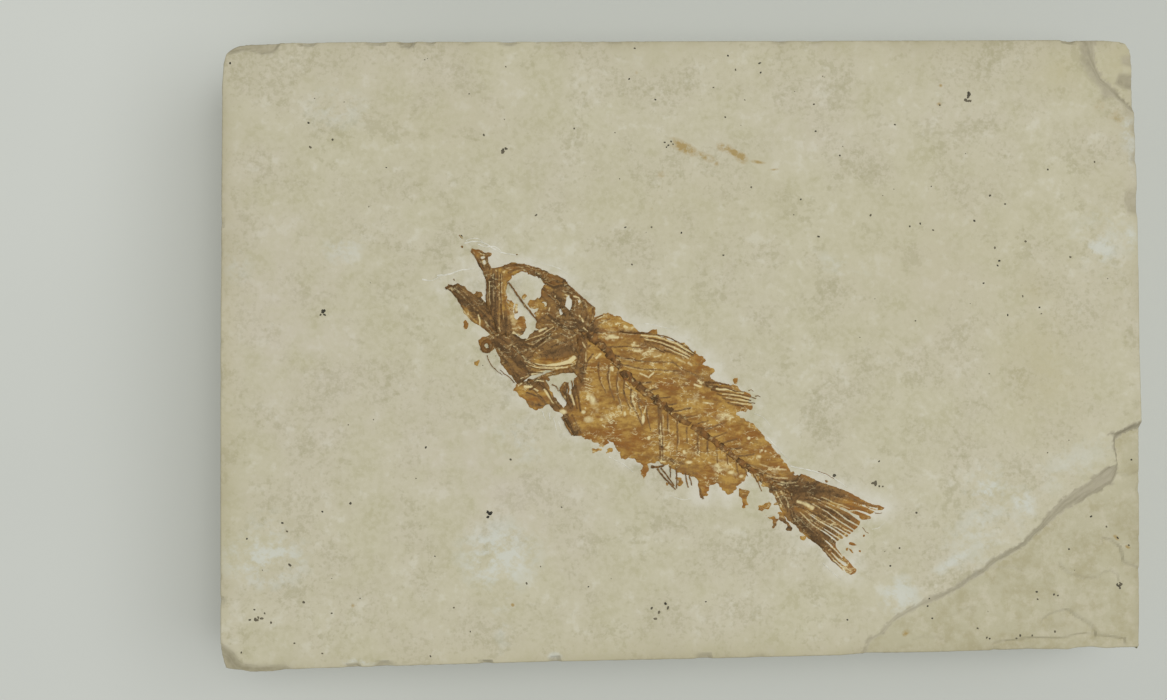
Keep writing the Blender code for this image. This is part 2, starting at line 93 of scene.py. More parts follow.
FLAKE_LEDGES = [  # each: a line, its drop, and how far the drop reaches before it fades out
    ([(23.6, -6.25), (24.05, -6.4), (24.7, -6.15)], 0.1, 0.9),
    ([(22.7, -9.7), (23.3, -9.9), (23.75, -10.3), (23.95, -11.05), (24.8, -11.4)], 0.16, 1.6),
    ([(20.3, -10.9), (20.5, -11.3), (20.95, -11.65), (21.75, -11.9), (22.5, -11.85), (22.75, -11.6),
      (23.2, -11.5), (23.6, -11.75)], 0.12, 1.4),
    ([(16.0, -11.6), (16.55, -11.35), (17.65, -11.3), (18.35, -11.45)], 0.07, 0.9),
    ([(19.5, -14.1), (19.85, -13.85), (20.4, -13.65), (20.9, -13.6), (21.35, -13.95), (22.1, -14.4),
      (22.4, -14.8)], 0.16, 1.3),
    ([(14.3, -13.95), (14.75, -13.85), (15.05, -13.55), (15.7, -13.5)], 0.08, 0.8),
    ([(12.4, -15.2), (13.0, -15.0), (13.6, -15.0), (14.2, -15.25)], 0.07, 0.6),
    ([(16.8, -15.35), (18.0, -15.2), (19.2, -15.1), (20.4, -15.15), (21.6, -14.9), (22.6, -15.0),
      (24.0, -15.2)], 0.2, 0.8),
]

# The break at the corner at +X +Y: the top of its slope, the foot of it, and the facets past that.
BREAK_TOP = [
    (21.3, 18.0), (21.35, 16.9), (21.6, 16.3), (21.85, 15.7), (22.12, 15.2), (22.35, 14.65),
    (22.85, 14.25), (23.3, 13.8), (23.7, 13.4), (24.2, 13.05), (25.5, 12.3),
]
BREAK_FOOT = [
    (22.25, 18.0), (22.3, 16.9), (22.25, 16.1), (22.4, 15.55), (22.65, 15.0), (23.05, 14.65),
    (23.4, 14.25), (23.8, 13.8), (24.2, 13.4), (25.5, 12.7),
]
BREAK_DEPTH = 0.3
BREAK_FACETS = [  # the outline of each and how deep it is
    ([(23.2, 14.6), (23.4, 15.05), (23.5, 15.3), (24.5, 15.2), (24.5, 14.2), (23.8, 14.3)], 0.1),
    ([(23.6, 15.6), (23.6, 16.2), (24.5, 16.3), (24.5, 15.4)], 0.05),
]

# The facet at the corner at -X -Y, above the bed that stands out below it.
LOWER_BED_LINE = [
    (-26.0, -14.9), (-24.7, -15.35), (-24.35, -15.6), (-24.0, -15.9), (-23.75, -16.3), (-23.5, -16.5),
    (-22.6, -16.58), (-21.9, -16.55), (-21.3, -16.52), (-20.9, -16.75), (-20.6, -18.0),
]
LOWER_BED_DEPTH = 0.4

# Chips out of the edges: the outline of each and how deep it is.
CHIPS = [
    ([(-24.6, 16.3), (-24.2, 16.15), (-23.75, 16.3), (-23.2, 16.32), (-22.5, 16.12), (-21.95, 16.2),
      (-21.7, 16.4), (-21.4, 16.9), (-24.6, 17.2)], 0.16),
    ([(-20.6, 17.2), (-20.5, 16.62), (-19.9, 16.52), (-19.5, 16.7), (-19.4, 17.2)], 0.2),
    ([(-17.1, 17.2), (-16.9, 16.7), (-16.4, 16.6), (-15.9, 16.65), (-15.8, 17.2)], 0.2),
    ([(-15.3, 17.2), (-15.1, 16.55), (-14.6, 16.42), (-14.3, 16.7), (-14.2, 17.2)], 0.25),
    ([(-13.9, 17.2), (-13.8, 16.7), (-13.3, 16.6), (-13.0, 17.2)], 0.18),
    ([(-9.9, 17.2), (-9.7, 16.65), (-9.2, 16.55), (-8.8, 16.7), (-8.7, 17.2)], 0.22),
    ([(-4.2, 17.2), (-4.0, 16.75), (-3.2, 16.7), (-3.0, 17.2)], 0.16),
    ([(4.6, 17.2), (4.8, 16.75), (5.6, 16.72), (5.9, 17.2)], 0.16),
    ([(19.9, 17.2), (20.4, 16.78), (21.0, 16.7), (21.4, 17.2)], 0.2),
    ([(23.8, 9.02), (25.0, 9.1), (25.0, 7.5), (24.0, 7.58), (23.78, 7.9), (23.72, 8.45)], 0.14),
    ([(24.0, 12.5), (25.0, 12.6), (25.0, 11.9), (24.05, 12.0)], 0.16),
    ([(24.0, 10.9), (25.0, 11.0), (25.0, 10.2), (24.1, 10.3)], 0.14),
    ([(-18.2, -17.0), (-18.0, -16.5), (-17.3, -16.42), (-17.0, -17.0)], 0.2),
    ([(-16.6, -17.0), (-16.4, -16.35), (-15.9, -16.3), (-15.6, -16.42), (-15.4, -17.0)], 0.2),
    ([(-11.0, -17.0), (-10.8, -16.3), (-10.2, -16.25), (-10.0, -17.0)], 0.16),
    ([(-7.2, -17.0), (-7.0, -16.1), (-6.5, -16.0), (-6.2, -17.0)], 0.2),
    ([(0.6, -17.0), (0.8, -15.95), (1.6, -15.9), (1.8, -17.0)], 0.16),
]

# ---------------------------------------------------------------- the fish's drawing

SKIN = [
    (-6.5, -3.2), (-6.0, -4.0), (-5.45, -4.2), (-5.1, -4.5), (-4.7, -4.75), (-4.3, -4.85), (-4.1, -4.7),
    (-3.95, -4.45), (-3.65, -4.65), (-3.45, -5.05), (-3.15, -5.35), (-2.65, -5.6), (-2.2, -5.8),
    (-2.1, -6.2), (-2.05, -6.65), (-1.75, -6.25), (-1.7, -5.85), (-1.15, -5.7), (-0.65, -5.95),
    (-0.1, -6.3), (0.2, -6.35), (0.7, -6.5), (0.9, -6.85), (1.05, -7.6), (1.45, -7.45), (1.55, -7.0),
    (1.9, -6.85), (2.2, -7.15), (2.45, -7.45), (2.8, -7.35), (2.95, -6.95), (3.35, -6.65), (3.6, -6.3),
    (4.3, -6.85), (4.8, -7.35), (5.1, -7.7), (5.5, -8.2), (6.2, -7.6), (6.3, -6.5), (6.1, -6.4),
    (5.85, -6.1), (5.65, -5.7), (5.4, -5.5), (5.1, -5.1), (4.75, -4.8), (4.45, -4.3), (4.2, -4.0),
    (3.75, -3.6), (3.4, -3.4), (2.75, -3.15), (3.15, -2.9), (3.5, -3.0), (3.75, -2.8), (3.85, -2.55),
    (3.55, -2.4), (3.8, -2.2), (3.7, -2.0), (3.3, -1.8), (2.95, -1.55), (2.4, -1.5), (1.8, -1.35),
    (1.55, -1.1), (1.8, -0.85), (1.55, -0.65), (1.1, -0.45), (1.3, -0.25), (1.2, 0.0), (0.65, 0.3),
    (0.3, 0.65), (-0.1, 0.7), (-0.85, 0.95), (-1.3, 1.35), (-1.5, 1.35), (-1.7, 1.25), (-2.3, 1.4),
    (-2.75, 1.75), (-3.15, 2.0), (-3.65, 2.2), (-3.95, 2.35), (-4.25, 2.25), (-4.8, 2.0), (-5.4, 1.0),
    (-5.4, -1.0), (-5.9, -2.0),
]
SKIN_SHREDS = [  # loose shreds of skin along the belly, over the back fins and under the tail
    [(-4.35, -4.45), (-4.0, -4.4), (-3.9, -4.7), (-4.15, -4.9), (-4.4, -4.75)],
    [(-4.05, -4.95), (-3.7, -4.9), (-3.65, -5.15), (-4.0, -5.2)],
    [(-4.75, -5.0), (-4.3, -4.95), (-4.25, -5.15), (-4.7, -5.2)],
    [(2.7, -1.25), (2.95, -1.2), (3.1, -1.45), (2.85, -1.6)],
    [(3.1, -7.15), (3.45, -7.1), (3.7, -7.3), (3.5, -7.6), (3.6, -7.95), (3.45, -8.2), (3.25, -8.1),
     (3.2, -7.75), (3.0, -7.5)],
    [(4.1, -8.05), (4.5, -7.85), (4.8, -7.9), (5.15, -7.7), (5.3, -7.95), (4.9, -8.15), (4.5, -8.2),
     (4.3, -8.4), (4.15, -8.3)],
    [(4.5, -8.55), (4.9, -8.55), (5.2, -8.75), (5.15, -9.05), (4.95, -9.15), (4.85, -8.9), (4.55,
                                                                                            -8.7)],
    [(5.2, -8.2), (5.5, -8.35), (5.7, -8.8), (6.15, -9.15), (6.05, -9.45), (5.7, -9.4), (5.5, -9.1),
     (5.3, -8.95), (5.2, -8.55)],
    [(6.4, -9.7), (6.6, -9.65), (6.7, -9.8), (6.5, -9.85)],
    [(-0.25, -6.6), (0.0, -6.65), (0.1, -6.85), (-0.1, -6.95)],
    [(-0.8, -6.7), (-0.6, -6.85), (-0.75, -7.0), (-0.95, -6.85)],
]
CREAM_SPOTS = [  # where the film has flaked off down to cream stone: middle, radii, strength
    ((-3.76, 1.06), (0.24, 0.11), 0.9), ((-3.03, -3.08), (0.08, 0.15), 1.1),
    ((-2.05, -3.4), (0.08, 0.24), 1.2), ((-1.75, -4.4), (0.1, 0.15), 1.0),
    ((0.4, -5.7), (0.17, 0.08), 0.9), ((3.6, -4.4), (0.12, 0.1), 1.0),
    ((-4.75, -2.35), (0.2, 0.3), 0.8), ((1.9, -5.85), (0.16, 0.1), 0.7),
    ((2.65, -6.25), (0.24, 0.13), 0.8), ((3.2, -6.45), (0.15, 0.1), 0.9),
    ((-5.25, -3.0), (0.12, 0.1), 0.9), ((2.5, -3.2), (0.2, 0.07), 0.8),
    ((4.15, -5.4), (0.14, 0.1), 0.8), ((4.5, -5.1), (0.07, 0.07), 1.0),
    ((0.15, -5.1), (0.08, 0.07), 0.8), ((-4.95, -3.4), (0.24, 0.16), 0.6),
    ((-6.35, -3.0), (0.2, 0.13), 1.0),
]
THROAT_SKIN = [
    (-9.0, -1.85), (-8.85, -1.5), (-8.5, -1.25), (-7.9, -1.2), (-7.3, -1.15), (-7.15, -1.45),
    (-7.05, -1.85), (-6.75, -2.25), (-6.45, -2.7), (-6.2, -3.0), (-6.35, -3.15), (-6.75, -3.0),
    (-7.1, -2.6), (-7.4, -2.8), (-7.8, -2.87), (-8.1, -2.65), (-8.45, -2.3),
]
GIRDLE_SKIN = [
    (-6.45, -1.55), (-6.25, -1.35), (-6.05, -1.45), (-6.1, -2.0), (-5.8, -2.6), (-5.55, -3.05),
    (-5.35, -3.05), (-5.0, -2.0), (-5.1, -1.0), (-5.4, -0.8), (-5.75, -1.3), (-5.9, -2.2),
    (-5.95, -2.75), (-6.2, -2.3), (-6.45, -1.9),
]
TAIL_WEB = [
    (4.9, -7.2), (5.6, -6.8), (6.1, -6.55), (6.4, -6.35), (6.65, -6.4), (7.05, -6.55), (7.5, -6.75),
    (8.05, -6.95), (8.85, -7.25), (9.35, -7.5), (10.05, -7.85), (10.5, -8.0), (10.95, -8.12),
    (10.8, -8.25), (10.45, -8.3), (10.1, -8.5), (10.2, -8.7), (9.95, -8.8), (9.7, -8.8), (9.5, -9.1),
    (9.2, -9.45), (8.75, -9.78), (8.3, -9.98), (8.3, -10.2), (8.55, -10.55), (8.85, -10.85),
    (9.1, -11.1), (9.4, -11.45), (9.35, -11.65), (9.1, -11.75), (8.8, -11.62), (8.4, -11.3),
    (8.05, -11.0), (7.7, -10.55), (7.3, -10.15), (6.75, -9.75), (6.4, -9.45), (6.1, -9.15), (5.7, -8.8),
    (5.35, -8.3), (5.1, -7.8),
]
TAIL_SHREDS = [
    [(8.8, -10.3), (8.92, -10.32), (8.9, -10.48), (8.8, -10.45)],
    [(9.0, -10.35), (9.15, -10.4), (9.25, -10.6), (9.1, -10.55)],
    [(9.5, -10.4), (9.65, -10.42), (9.62, -10.55), (9.5, -10.52)],
    [(8.95, -9.95), (9.2, -9.98), (9.45, -10.15), (9.3, -10.2), (9.0, -10.1)],
    [(9.72, -9.55), (9.84, -9.6), (9.8, -9.75), (9.72, -9.7)],
    [(7.6, -6.65), (7.75, -6.6), (7.95, -6.75), (7.75, -6.8)],
]
UPPER_JAW = [
    (-11.3, 5.55), (-11.05, 5.2), (-10.85, 4.8), (-10.65, 4.5), (-10.5, 4.2), (-10.5, 3.75),
    (-10.45, 3.35), (-10.5, 2.95), (-10.4, 2.4), (-10.1, 1.8), (-9.8, 1.05), (-8.9, 1.1), (-8.92, 1.5),
    (-9.05, 2.3), (-9.35, 2.95), (-9.4, 3.5), (-9.3, 3.95), (-9.1, 4.2), (-9.2, 4.75), (-9.55, 4.82),
    (-9.85, 4.75), (-10.15, 4.68), (-10.35, 4.95), (-10.35, 5.25), (-10.2, 5.5), (-10.5, 5.52),
    (-10.9, 5.72), (-11.25, 5.75),
]
LOWER_JAW = [
    (-12.72, 3.62), (-12.35, 3.42), (-12.1, 3.05), (-11.85, 2.6), (-11.5, 2.1), (-11.2, 1.85),
    (-10.9, 1.65), (-10.7, 1.5), (-10.3, 1.1), (-9.8, 1.1), (-10.0, 2.0), (-10.4, 2.7), (-10.75, 3.1),
    (-11.2, 3.38), (-11.6, 3.68), (-12.0, 3.9), (-12.25, 3.8), (-12.5, 3.88),
]
SKULL_ROOF = [
    (-9.3, 4.15), (-9.05, 4.27), (-8.85, 4.4), (-8.5, 4.52), (-8.0, 4.42), (-7.55, 4.1), (-7.35, 3.85),
    (-7.5, 3.6), (-7.55, 3.2), (-7.7, 2.95), (-7.6, 2.7), (-7.85, 2.25), (-7.75, 1.85), (-7.9, 1.5),
    (-7.3, 1.2), (-6.7, 1.4), (-5.6, 1.1), (-5.0, 1.2), (-4.75, 1.7), (-4.6, 2.2), (-4.65, 2.6),
    (-4.95, 2.8), (-5.15, 3.0), (-5.6, 3.47), (-6.0, 3.8), (-6.1, 4.0), (-6.45, 4.2), (-6.6, 4.35),
    (-6.9, 4.42), (-7.5, 4.68), (-8.1, 4.86), (-8.5, 4.95), (-8.9, 5.0), (-9.5, 4.88), (-9.6, 4.5),
]
SKULL_HOLES = [
    ((-6.04, 2.8), 0.15, 0.32), ((-7.38, 2.78), 0.15, 0.11), ((-6.44, 2.33), 0.09, 0.17),
    ((-5.47, 2.93), 0.07, 0.08), ((-7.41, 1.4), 0.17, 0.06), ((-8.45, 4.42), 0.09, 0.04),
]
CHEEK = [
    (-10.35, 1.1), (-10.0, 0.3), (-9.73, -0.08), (-9.6, -0.5), (-9.2, -1.0), (-8.8, -1.5),
    (-8.45, -1.4), (-8.05, -1.1), (-7.5, -0.85), (-6.4, -0.75), (-5.7, -0.6), (-5.4, -0.25),
    (-5.3, 0.6), (-5.2, 1.3), (-5.6, 1.5), (-6.7, 1.65), (-7.25, 1.5), (-7.9, 1.35), (-8.3, 0.95),
    (-8.6, 1.0), (-8.9, 1.2),
]
JAW_JOINT = [
    (-10.9, 0.8), (-10.82, 0.35), (-10.6, 0.08), (-10.3, 0.12), (-9.95, 0.4), (-9.6, 0.9), (-9.8, 1.25),
    (-10.2, 1.3), (-10.45, 1.05), (-10.7, 1.02),
]
RUST_LUMPS = [  # rounded lumps of rust brown around the eye and the jaw, and thin film beside them
    [(-8.25, 2.8), (-8.1, 2.6), (-7.85, 2.5), (-7.65, 2.6), (-7.4, 2.45), (-7.3, 2.75), (-7.55, 2.95),
     (-7.7, 3.15), (-7.85, 3.05), (-8.1, 3.02)],
    [(-9.4, 3.05), (-9.1, 2.95), (-8.9, 2.6), (-9.0, 2.35), (-8.85, 2.0), (-8.7, 2.15), (-8.45, 2.1),
     (-8.35, 1.75), (-8.5, 1.5), (-8.4, 1.15), (-8.65, 1.0), (-9.0, 1.1), (-9.3, 1.5), (-9.3, 2.2)],
    [(-8.9, 1.5), (-8.75, 1.2), (-8.45, 1.15), (-8.3, 1.5), (-8.35, 1.75), (-8.5, 2.0), (-8.7, 2.02),
     (-8.85, 1.8)],
    [(-8.6, 3.15), (-8.4, 3.0), (-8.25, 3.2), (-8.42, 3.35)],
    [(-9.05, 2.6), (-8.95, 2.2), (-8.75, 2.3), (-8.85, 2.75)],
    [(-11.05, 3.3), (-10.9, 3.1), (-10.65, 3.2), (-10.7, 3.45), (-10.95, 3.45)],
    [(-11.68, 1.8), (-11.62, 1.5), (-11.5, 1.48), (-11.48, 1.75), (-11.58, 1.92)],
    [(-11.15, -0.32), (-10.95, -0.55), (-10.82, -0.2)],
    [(-10.05, -0.1), (-10.0, 0.1), (-9.85, 0.12), (-9.92, -0.12)],
]
GILL_COVER = [
    (-8.1, 0.0), (-7.8, 0.45), (-7.35, 1.0), (-6.8, 1.4), (-6.15, 1.55), (-5.6, 1.4), (-5.5, 0.6),
    (-5.6, 0.1), (-5.95, -0.08), (-6.4, -0.22), (-6.85, -0.28), (-7.4, -0.26), (-7.85, -0.18),
]
PELVIC_FIN = [
    (-6.45, -3.3), (-6.3, -3.1), (-6.05, -3.05), (-5.7, -3.2), (-5.5, -3.6), (-5.2, -4.0), (-5.4, -4.3),
    (-5.75, -4.32), (-5.95, -4.15), (-6.15, -3.75), (-6.35, -3.45),
]

# Slender bones: a path, and the width at its start and at its end.
JAW_RODS = [
    ([(-9.29, 3.95), (-8.92, 3.47), (-8.52, 2.87), (-8.12, 2.4), (-7.72, 1.9)], 0.1, 0.09),
    ([(-10.83, 2.33), (-10.53, 1.86), (-10.26, 1.5), (-9.86, 1.1)], 0.08, 0.18),
    ([(-12.65, 3.62), (-12.4, 3.72), (-12.2, 3.6), (-11.6, 3.1), (-10.95, 2.5)], 0.12, 0.06),
    ([(-12.1, 3.75), (-11.6, 3.4), (-11.0, 2.9), (-10.5, 2.4)], 0.08, 0.05),
    ([(-10.45, 4.2), (-10.42, 3.6), (-10.48, 3.0)], 0.08, 0.06),
    ([(-10.15, 4.3), (-10.15, 3.5), (-10.1, 2.6)], 0.07, 0.05),
    ([(-9.7, 4.4), (-9.7, 3.6), (-9.65, 2.6), (-9.55, 1.7)], 0.06, 0.06),
    ([(-11.25, 5.65), (-10.95, 5.25), (-10.72, 4.8), (-10.5, 4.35)], 0.1, 0.08),
    ([(-10.95, 5.62), (-10.6, 5.5), (-10.28, 5.45)], 0.08, 0.07),
    ([(-10.42, 5.35), (-10.38, 5.0), (-10.25, 4.7)], 0.06, 0.06),
    ([(-10.42, 0.05), (-10.27, -0.35), (-9.99, -0.7), (-9.6, -1.02)], 0.05, 0.035),
    ([(-9.7, -0.75), (-9.5, -0.95), (-9.2, -1.15), (-8.95, -1.45)], 0.035, 0.05),
]
JAW_JOINT_RING = ((-10.44, 0.53), 0.23, 0.22)  # middle, radius, width of the bone
JOINT_HOLES = [((-10.43, 0.52), 0.11, 0.13)]  # each hole: middle, half its width, half its height
PRONG_HOLES = [((-10.65, 5.28), 0.09, 0.06), ((-10.56, 5.03), 0.08, 0.1)]
SKULL_RODS = [
    ([(-9.55, 4.72), (-9.2, 4.85), (-8.8, 4.88), (-8.2, 4.75), (-7.6, 4.5), (-6.95, 4.25),
      (-6.35, 4.05)], 0.16, 0.22),
    ([(-9.3, 4.45), (-8.95, 4.62), (-8.6, 4.66), (-8.1, 4.55)], 0.08, 0.06),
    ([(-7.5, 4.3), (-7.1, 4.0), (-6.6, 3.85), (-6.1, 3.9)], 0.14, 0.16),
    ([(-6.1, 3.75), (-5.7, 3.42), (-5.2, 2.98), (-4.8, 2.65)], 0.12, 0.1),
    ([(-7.35, 3.6), (-7.0, 3.25), (-6.65, 2.95), (-6.45, 2.6), (-6.2, 2.1)], 0.1, 0.08),
    ([(-7.4, 2.4), (-6.95, 2.3), (-6.5, 1.95), (-5.7, 1.85)], 0.09, 0.07),
    ([(-5.85, 3.3), (-5.75, 2.8), (-5.85, 2.4), (-5.5, 2.0)], 0.09, 0.07),
    ([(-5.2, 2.9), (-5.05, 2.4), (-5.1, 1.9)], 0.09, 0.06),
    ([(-4.75, 2.55), (-4.75, 2.1), (-4.95, 1.7)], 0.1, 0.08),
    ([(-7.75, 1.9), (-7.3, 1.75), (-6.9, 1.75), (-6.4, 1.6)], 0.09, 0.06),
    ([(-6.75, 3.7), (-6.3, 3.5), (-5.9, 3.4)], 0.1, 0.07),
]
GILL_RAYS = [
    ([(-8.5, 0.1), (-8.15, -0.3), (-7.5, -0.52), (-6.6, -0.55), (-5.8, -0.42)], 0.06, 0.045),
    ([(-8.65, -0.15), (-8.15, -0.55), (-7.4, -0.72), (-6.75, -0.7)], 0.06, 0.04),
    ([(-9.2, -0.05), (-8.6, -0.6), (-8.1, -0.85), (-7.4, -0.9)], 0.06, 0.045),
    ([(-9.4, -0.35), (-8.9, -0.85), (-8.4, -1.15)], 0.06, 0.045),
    ([(-9.1, 0.45), (-8.6, 0.05), (-8.25, 0.25), (-8.3, 0.45)], 0.07, 0.04),
    ([(-8.4, 0.72), (-8.0, 0.82), (-7.4, 1.05), (-6.8, 1.45)], 0.07, 0.05),
    ([(-8.55, 0.5), (-7.9, 0.45), (-7.45, 0.75), (-7.0, 1.15)], 0.07, 0.05),
]
SHOULDER_ARCH = [
    (-5.95, 1.3), (-5.5, 1.35), (-5.2, 0.9), (-5.12, 0.3), (-5.15, -0.4), (-5.2, -0.9), (-5.05, -1.3),
    (-5.35, -1.6), (-5.55, -1.15), (-5.75, -0.9), (-6.3, -0.95), (-6.9, -1.05), (-7.6, -1.25),
    (-8.3, -1.52), (-8.35, -1.42), (-7.5, -1.02), (-6.8, -0.78), (-6.1, -0.6), (-5.72, -0.42),
    (-5.6, -0.1), (-5.55, 0.4), (-5.6, 0.9),
]
SHOULDER = [
    ([(-5.65, 1.45), (-5.5, 1.0), (-5.42, 0.5), (-5.4, -0.1), (-5.45, -0.5), (-5.75, -0.72),
      (-6.4, -0.82), (-7.2, -1.0), (-8.2, -1.4)], 0.34, 0.08),
    ([(-5.4, 0.2), (-5.38, -0.3), (-5.4, -0.9), (-5.35, -1.4)], 0.3, 0.2),
    ([(-7.45, -1.12), (-7.15, -1.22), (-7.1, -1.32)], 0.16, 0.12),
    ([(-8.1, -1.78), (-7.85, -1.65), (-7.65, -1.45)], 0.1, 0.08),
    ([(-7.6, -1.45), (-7.2, -1.8), (-6.9, -2.35), (-6.5, -2.75)], 0.05, 0.08),
    ([(-6.95, -1.52), (-6.7, -1.62), (-6.6, -1.9)], 0.08, 0.05),
    ([(-6.3, -1.5), (-6.45, -1.85), (-6.2, -2.3), (-5.85, -2.8)], 0.14, 0.12),
    ([(-6.1, -1.42), (-6.05, -1.8), (-6.1, -2.2), (-5.95, -2.6)], 0.1, 0.08),
    ([(-5.88, -1.3), (-5.78, -2.0), (-5.58, -2.85)], 0.07, 0.05),
    ([(-5.7, -1.2), (-5.55, -2.0), (-5.42, -2.95)], 0.08, 0.06),
    ([(-6.4, -3.25), (-6.2, -3.65), (-5.85, -4.25)], 0.09, 0.12),
    ([(-6.15, -3.15), (-5.9, -3.65), (-5.65, -4.25)], 0.08, 0.09),
    ([(-5.85, -3.15), (-5.65, -3.6), (-5.4, -4.15)], 0.06, 0.06),
]
BACKBONE = [
    (-5.3, 1.45), (-4.8, 1.05), (-4.3, 0.5), (-3.75, -0.05), (-3.25, -0.65), (-2.75, -1.25),
    (-2.25, -1.7), (-1.7, -2.1), (-1.1, -2.6), (-0.45, -3.05), (0.55, -3.75), (1.2, -4.2), (1.9, -4.65),
    (2.55, -5.2), (3.2, -5.7), (3.9, -6.2), (4.75, -6.75), (5.35, -7.1), (6.0, -7.4),
]
VERTEBRAE = 24
VERTEBRA_WIDTHS = (0.58, 0.4)  # behind the head and at the tail
RIBS = [
    ([(-4.75, 0.1), (-5.05, -0.3), (-5.15, -0.95)], 0.07, 0.04),
    ([(-4.42, -0.35), (-4.45, -0.9), (-4.33, -1.4), (-4.05, -1.95)], 0.07, 0.04),
    ([(-3.88, -0.55), (-3.95, -1.1), (-3.85, -1.7), (-3.6, -2.35)], 0.08, 0.04),
    ([(-3.42, -0.85), (-3.47, -1.5), (-3.38, -2.2), (-3.2, -2.95)], 0.07, 0.04),
    ([(-3.05, -1.25), (-3.1, -1.8), (-2.98, -2.3), (-2.75, -2.8)], 0.06, 0.03),
    ([(-2.7, -1.8), (-2.7, -2.5), (-2.35, -3.15), (-2.1, -3.7)], 0.06, 0.06),
    ([(-2.35, -2.05), (-2.3, -2.6), (-2.1, -3.2)], 0.05, 0.04),
    ([(-3.0, -1.5), (-2.5, -2.0), (-1.8, -2.9)], 0.05, 0.03),
    ([(-1.9, -2.4), (-1.85, -3.2), (-1.65, -4.0)], 0.05, 0.03),
    ([(-5.25, -0.15), (-5.1, 0.4), (-4.9, 0.6)], 0.07, 0.05),
]
UNDER_SPINES = [
    ([(-1.22, -2.85), (-1.17, -4.1), (-1.12, -5.5)], 0.08, 0.08),
    ([(-1.1, -2.95), (-1.03, -4.1), (-1.0, -5.4)], 0.05, 0.05),
    ([(-0.75, -3.1), (-0.72, -4.15)], 0.07, 0.04),
    ([(-0.22, -3.4), (-0.2, -4.4), (-0.25, -5.4)], 0.07, 0.03),
    ([(0.28, -3.85), (0.3, -4.65)], 0.06, 0.04), ([(0.88, -4.2), (0.88, -5.25)], 0.07, 0.04),
    ([(1.38, -4.6), (1.4, -5.25)], 0.06, 0.04), ([(1.9, -4.95), (1.92, -5.75)], 0.06, 0.04),
    ([(2.42, -5.25), (2.5, -5.85)], 0.06, 0.04), ([(2.92, -5.6), (3.05, -6.35)], 0.07, 0.05),
    ([(3.4, -5.95), (3.55, -6.45)], 0.05, 0.04),
    ([(3.88, -6.35), (4.1, -6.75), (4.3, -7.25)], 0.06, 0.04),
    ([(5.0, -7.2), (5.25, -7.75), (5.5, -8.25)], 0.06, 0.05),
    ([(5.3, -7.3), (5.55, -7.8), (5.75, -8.3)], 0.06, 0.05),
]
OVER_SPINES = [
    ([(-4.55, 0.85), (-4.05, 0.48), (-2.95, 0.5), (-2.1, 0.4)], 0.06, 0.04),
    ([(-3.85, 0.15), (-3.15, -0.1), (-2.2, -0.28), (-1.15, -0.34), (-0.5, -0.32)], 0.07, 0.04),
    ([(-3.4, -0.4), (-2.2, -0.7), (-1.3, -0.75), (-0.1, -0.8)], 0.07, 0.04),
    ([(-5.0, 1.7), (-4.6, 1.98), (-4.2, 2.2)], 0.06, 0.04),
    ([(-4.6, 1.6), (-4.3, 1.8), (-3.85, 2.0)], 0.06, 0.04),
    ([(-4.5, 1.25), (-3.6, 1.3), (-2.5, 1.2)], 0.05, 0.08),
    ([(-0.5, -0.3), (0.05, -0.7), (0.7, -1.0), (1.15, -1.38)], 0.05, 0.07),
    ([(-2.55, -1.35), (-2.1, -1.45), (-1.6, -1.4)], 0.06, 0.04),
    ([(-2.1, -1.75), (-1.7, -1.85), (-1.2, -1.75)], 0.06, 0.04),
    ([(-1.6, -2.15), (-1.2, -2.25), (-0.6, -2.2)], 0.06, 0.04),
    ([(-1.05, -2.55), (-0.7, -2.62), (-0.25, -2.55)], 0.06, 0.04),
    ([(-0.5, -2.98), (0.0, -2.92), (0.5, -2.78)], 0.07, 0.04),
    ([(0.05, -3.35), (0.4, -3.28), (0.8, -3.18)], 0.06, 0.04),
    ([(0.6, -3.75), (1.0, -3.6), (1.45, -3.45)], 0.05, 0.04),
    ([(1.0, -4.0), (1.5, -3.85), (2.3, -3.6)], 0.07, 0.04),
    ([(1.5, -4.4), (1.9, -4.3), (2.45, -4.1)], 0.06, 0.04),
    ([(2.05, -4.75), (2.45, -4.6), (3.0, -4.42)], 0.06, 0.04),
    ([(2.45, -5.05), (2.8, -4.98), (3.2, -4.9)], 0.06, 0.04),
    ([(2.8, -5.38), (3.2, -5.35), (3.9, -5.25)], 0.06, 0.05),
    ([(3.45, -5.75), (3.95, -5.95), (4.5, -6.2)], 0.06, 0.03),
    ([(4.0, -6.15), (4.5, -6.3), (5.3, -6.45)], 0.06, 0.03),
    ([(4.5, -6.5), (5.3, -6.68), (6.2, -6.7)], 0.06, 0.04),
    ([(4.9, -6.8), (5.5, -6.85), (6.2, -6.9)], 0.06, 0.05),
]
FRONT_BACK_FIN = [
    ([(-3.3, 1.3), (-2.5, 1.22), (-1.7, 1.2), (-0.75, 1.0), (0.05, 0.6), (0.75, 0.12)], 0.09, 0.05),
    ([(-2.2, 1.02), (-1.15, 0.85), (-0.2, 0.5), (0.65, 0.04)], 0.07, 0.045),
    ([(-1.98, 0.8), (-1.0, 0.6), (-0.3, 0.26), (0.45, -0.06)], 0.07, 0.045),
    ([(-0.95, 0.3), (-0.35, 0.1), (0.2, -0.12)], 0.06, 0.04),
    ([(-1.85, 0.75), (-1.5, 0.5), (-0.9, 0.15)], 0.06, 0.03),
]
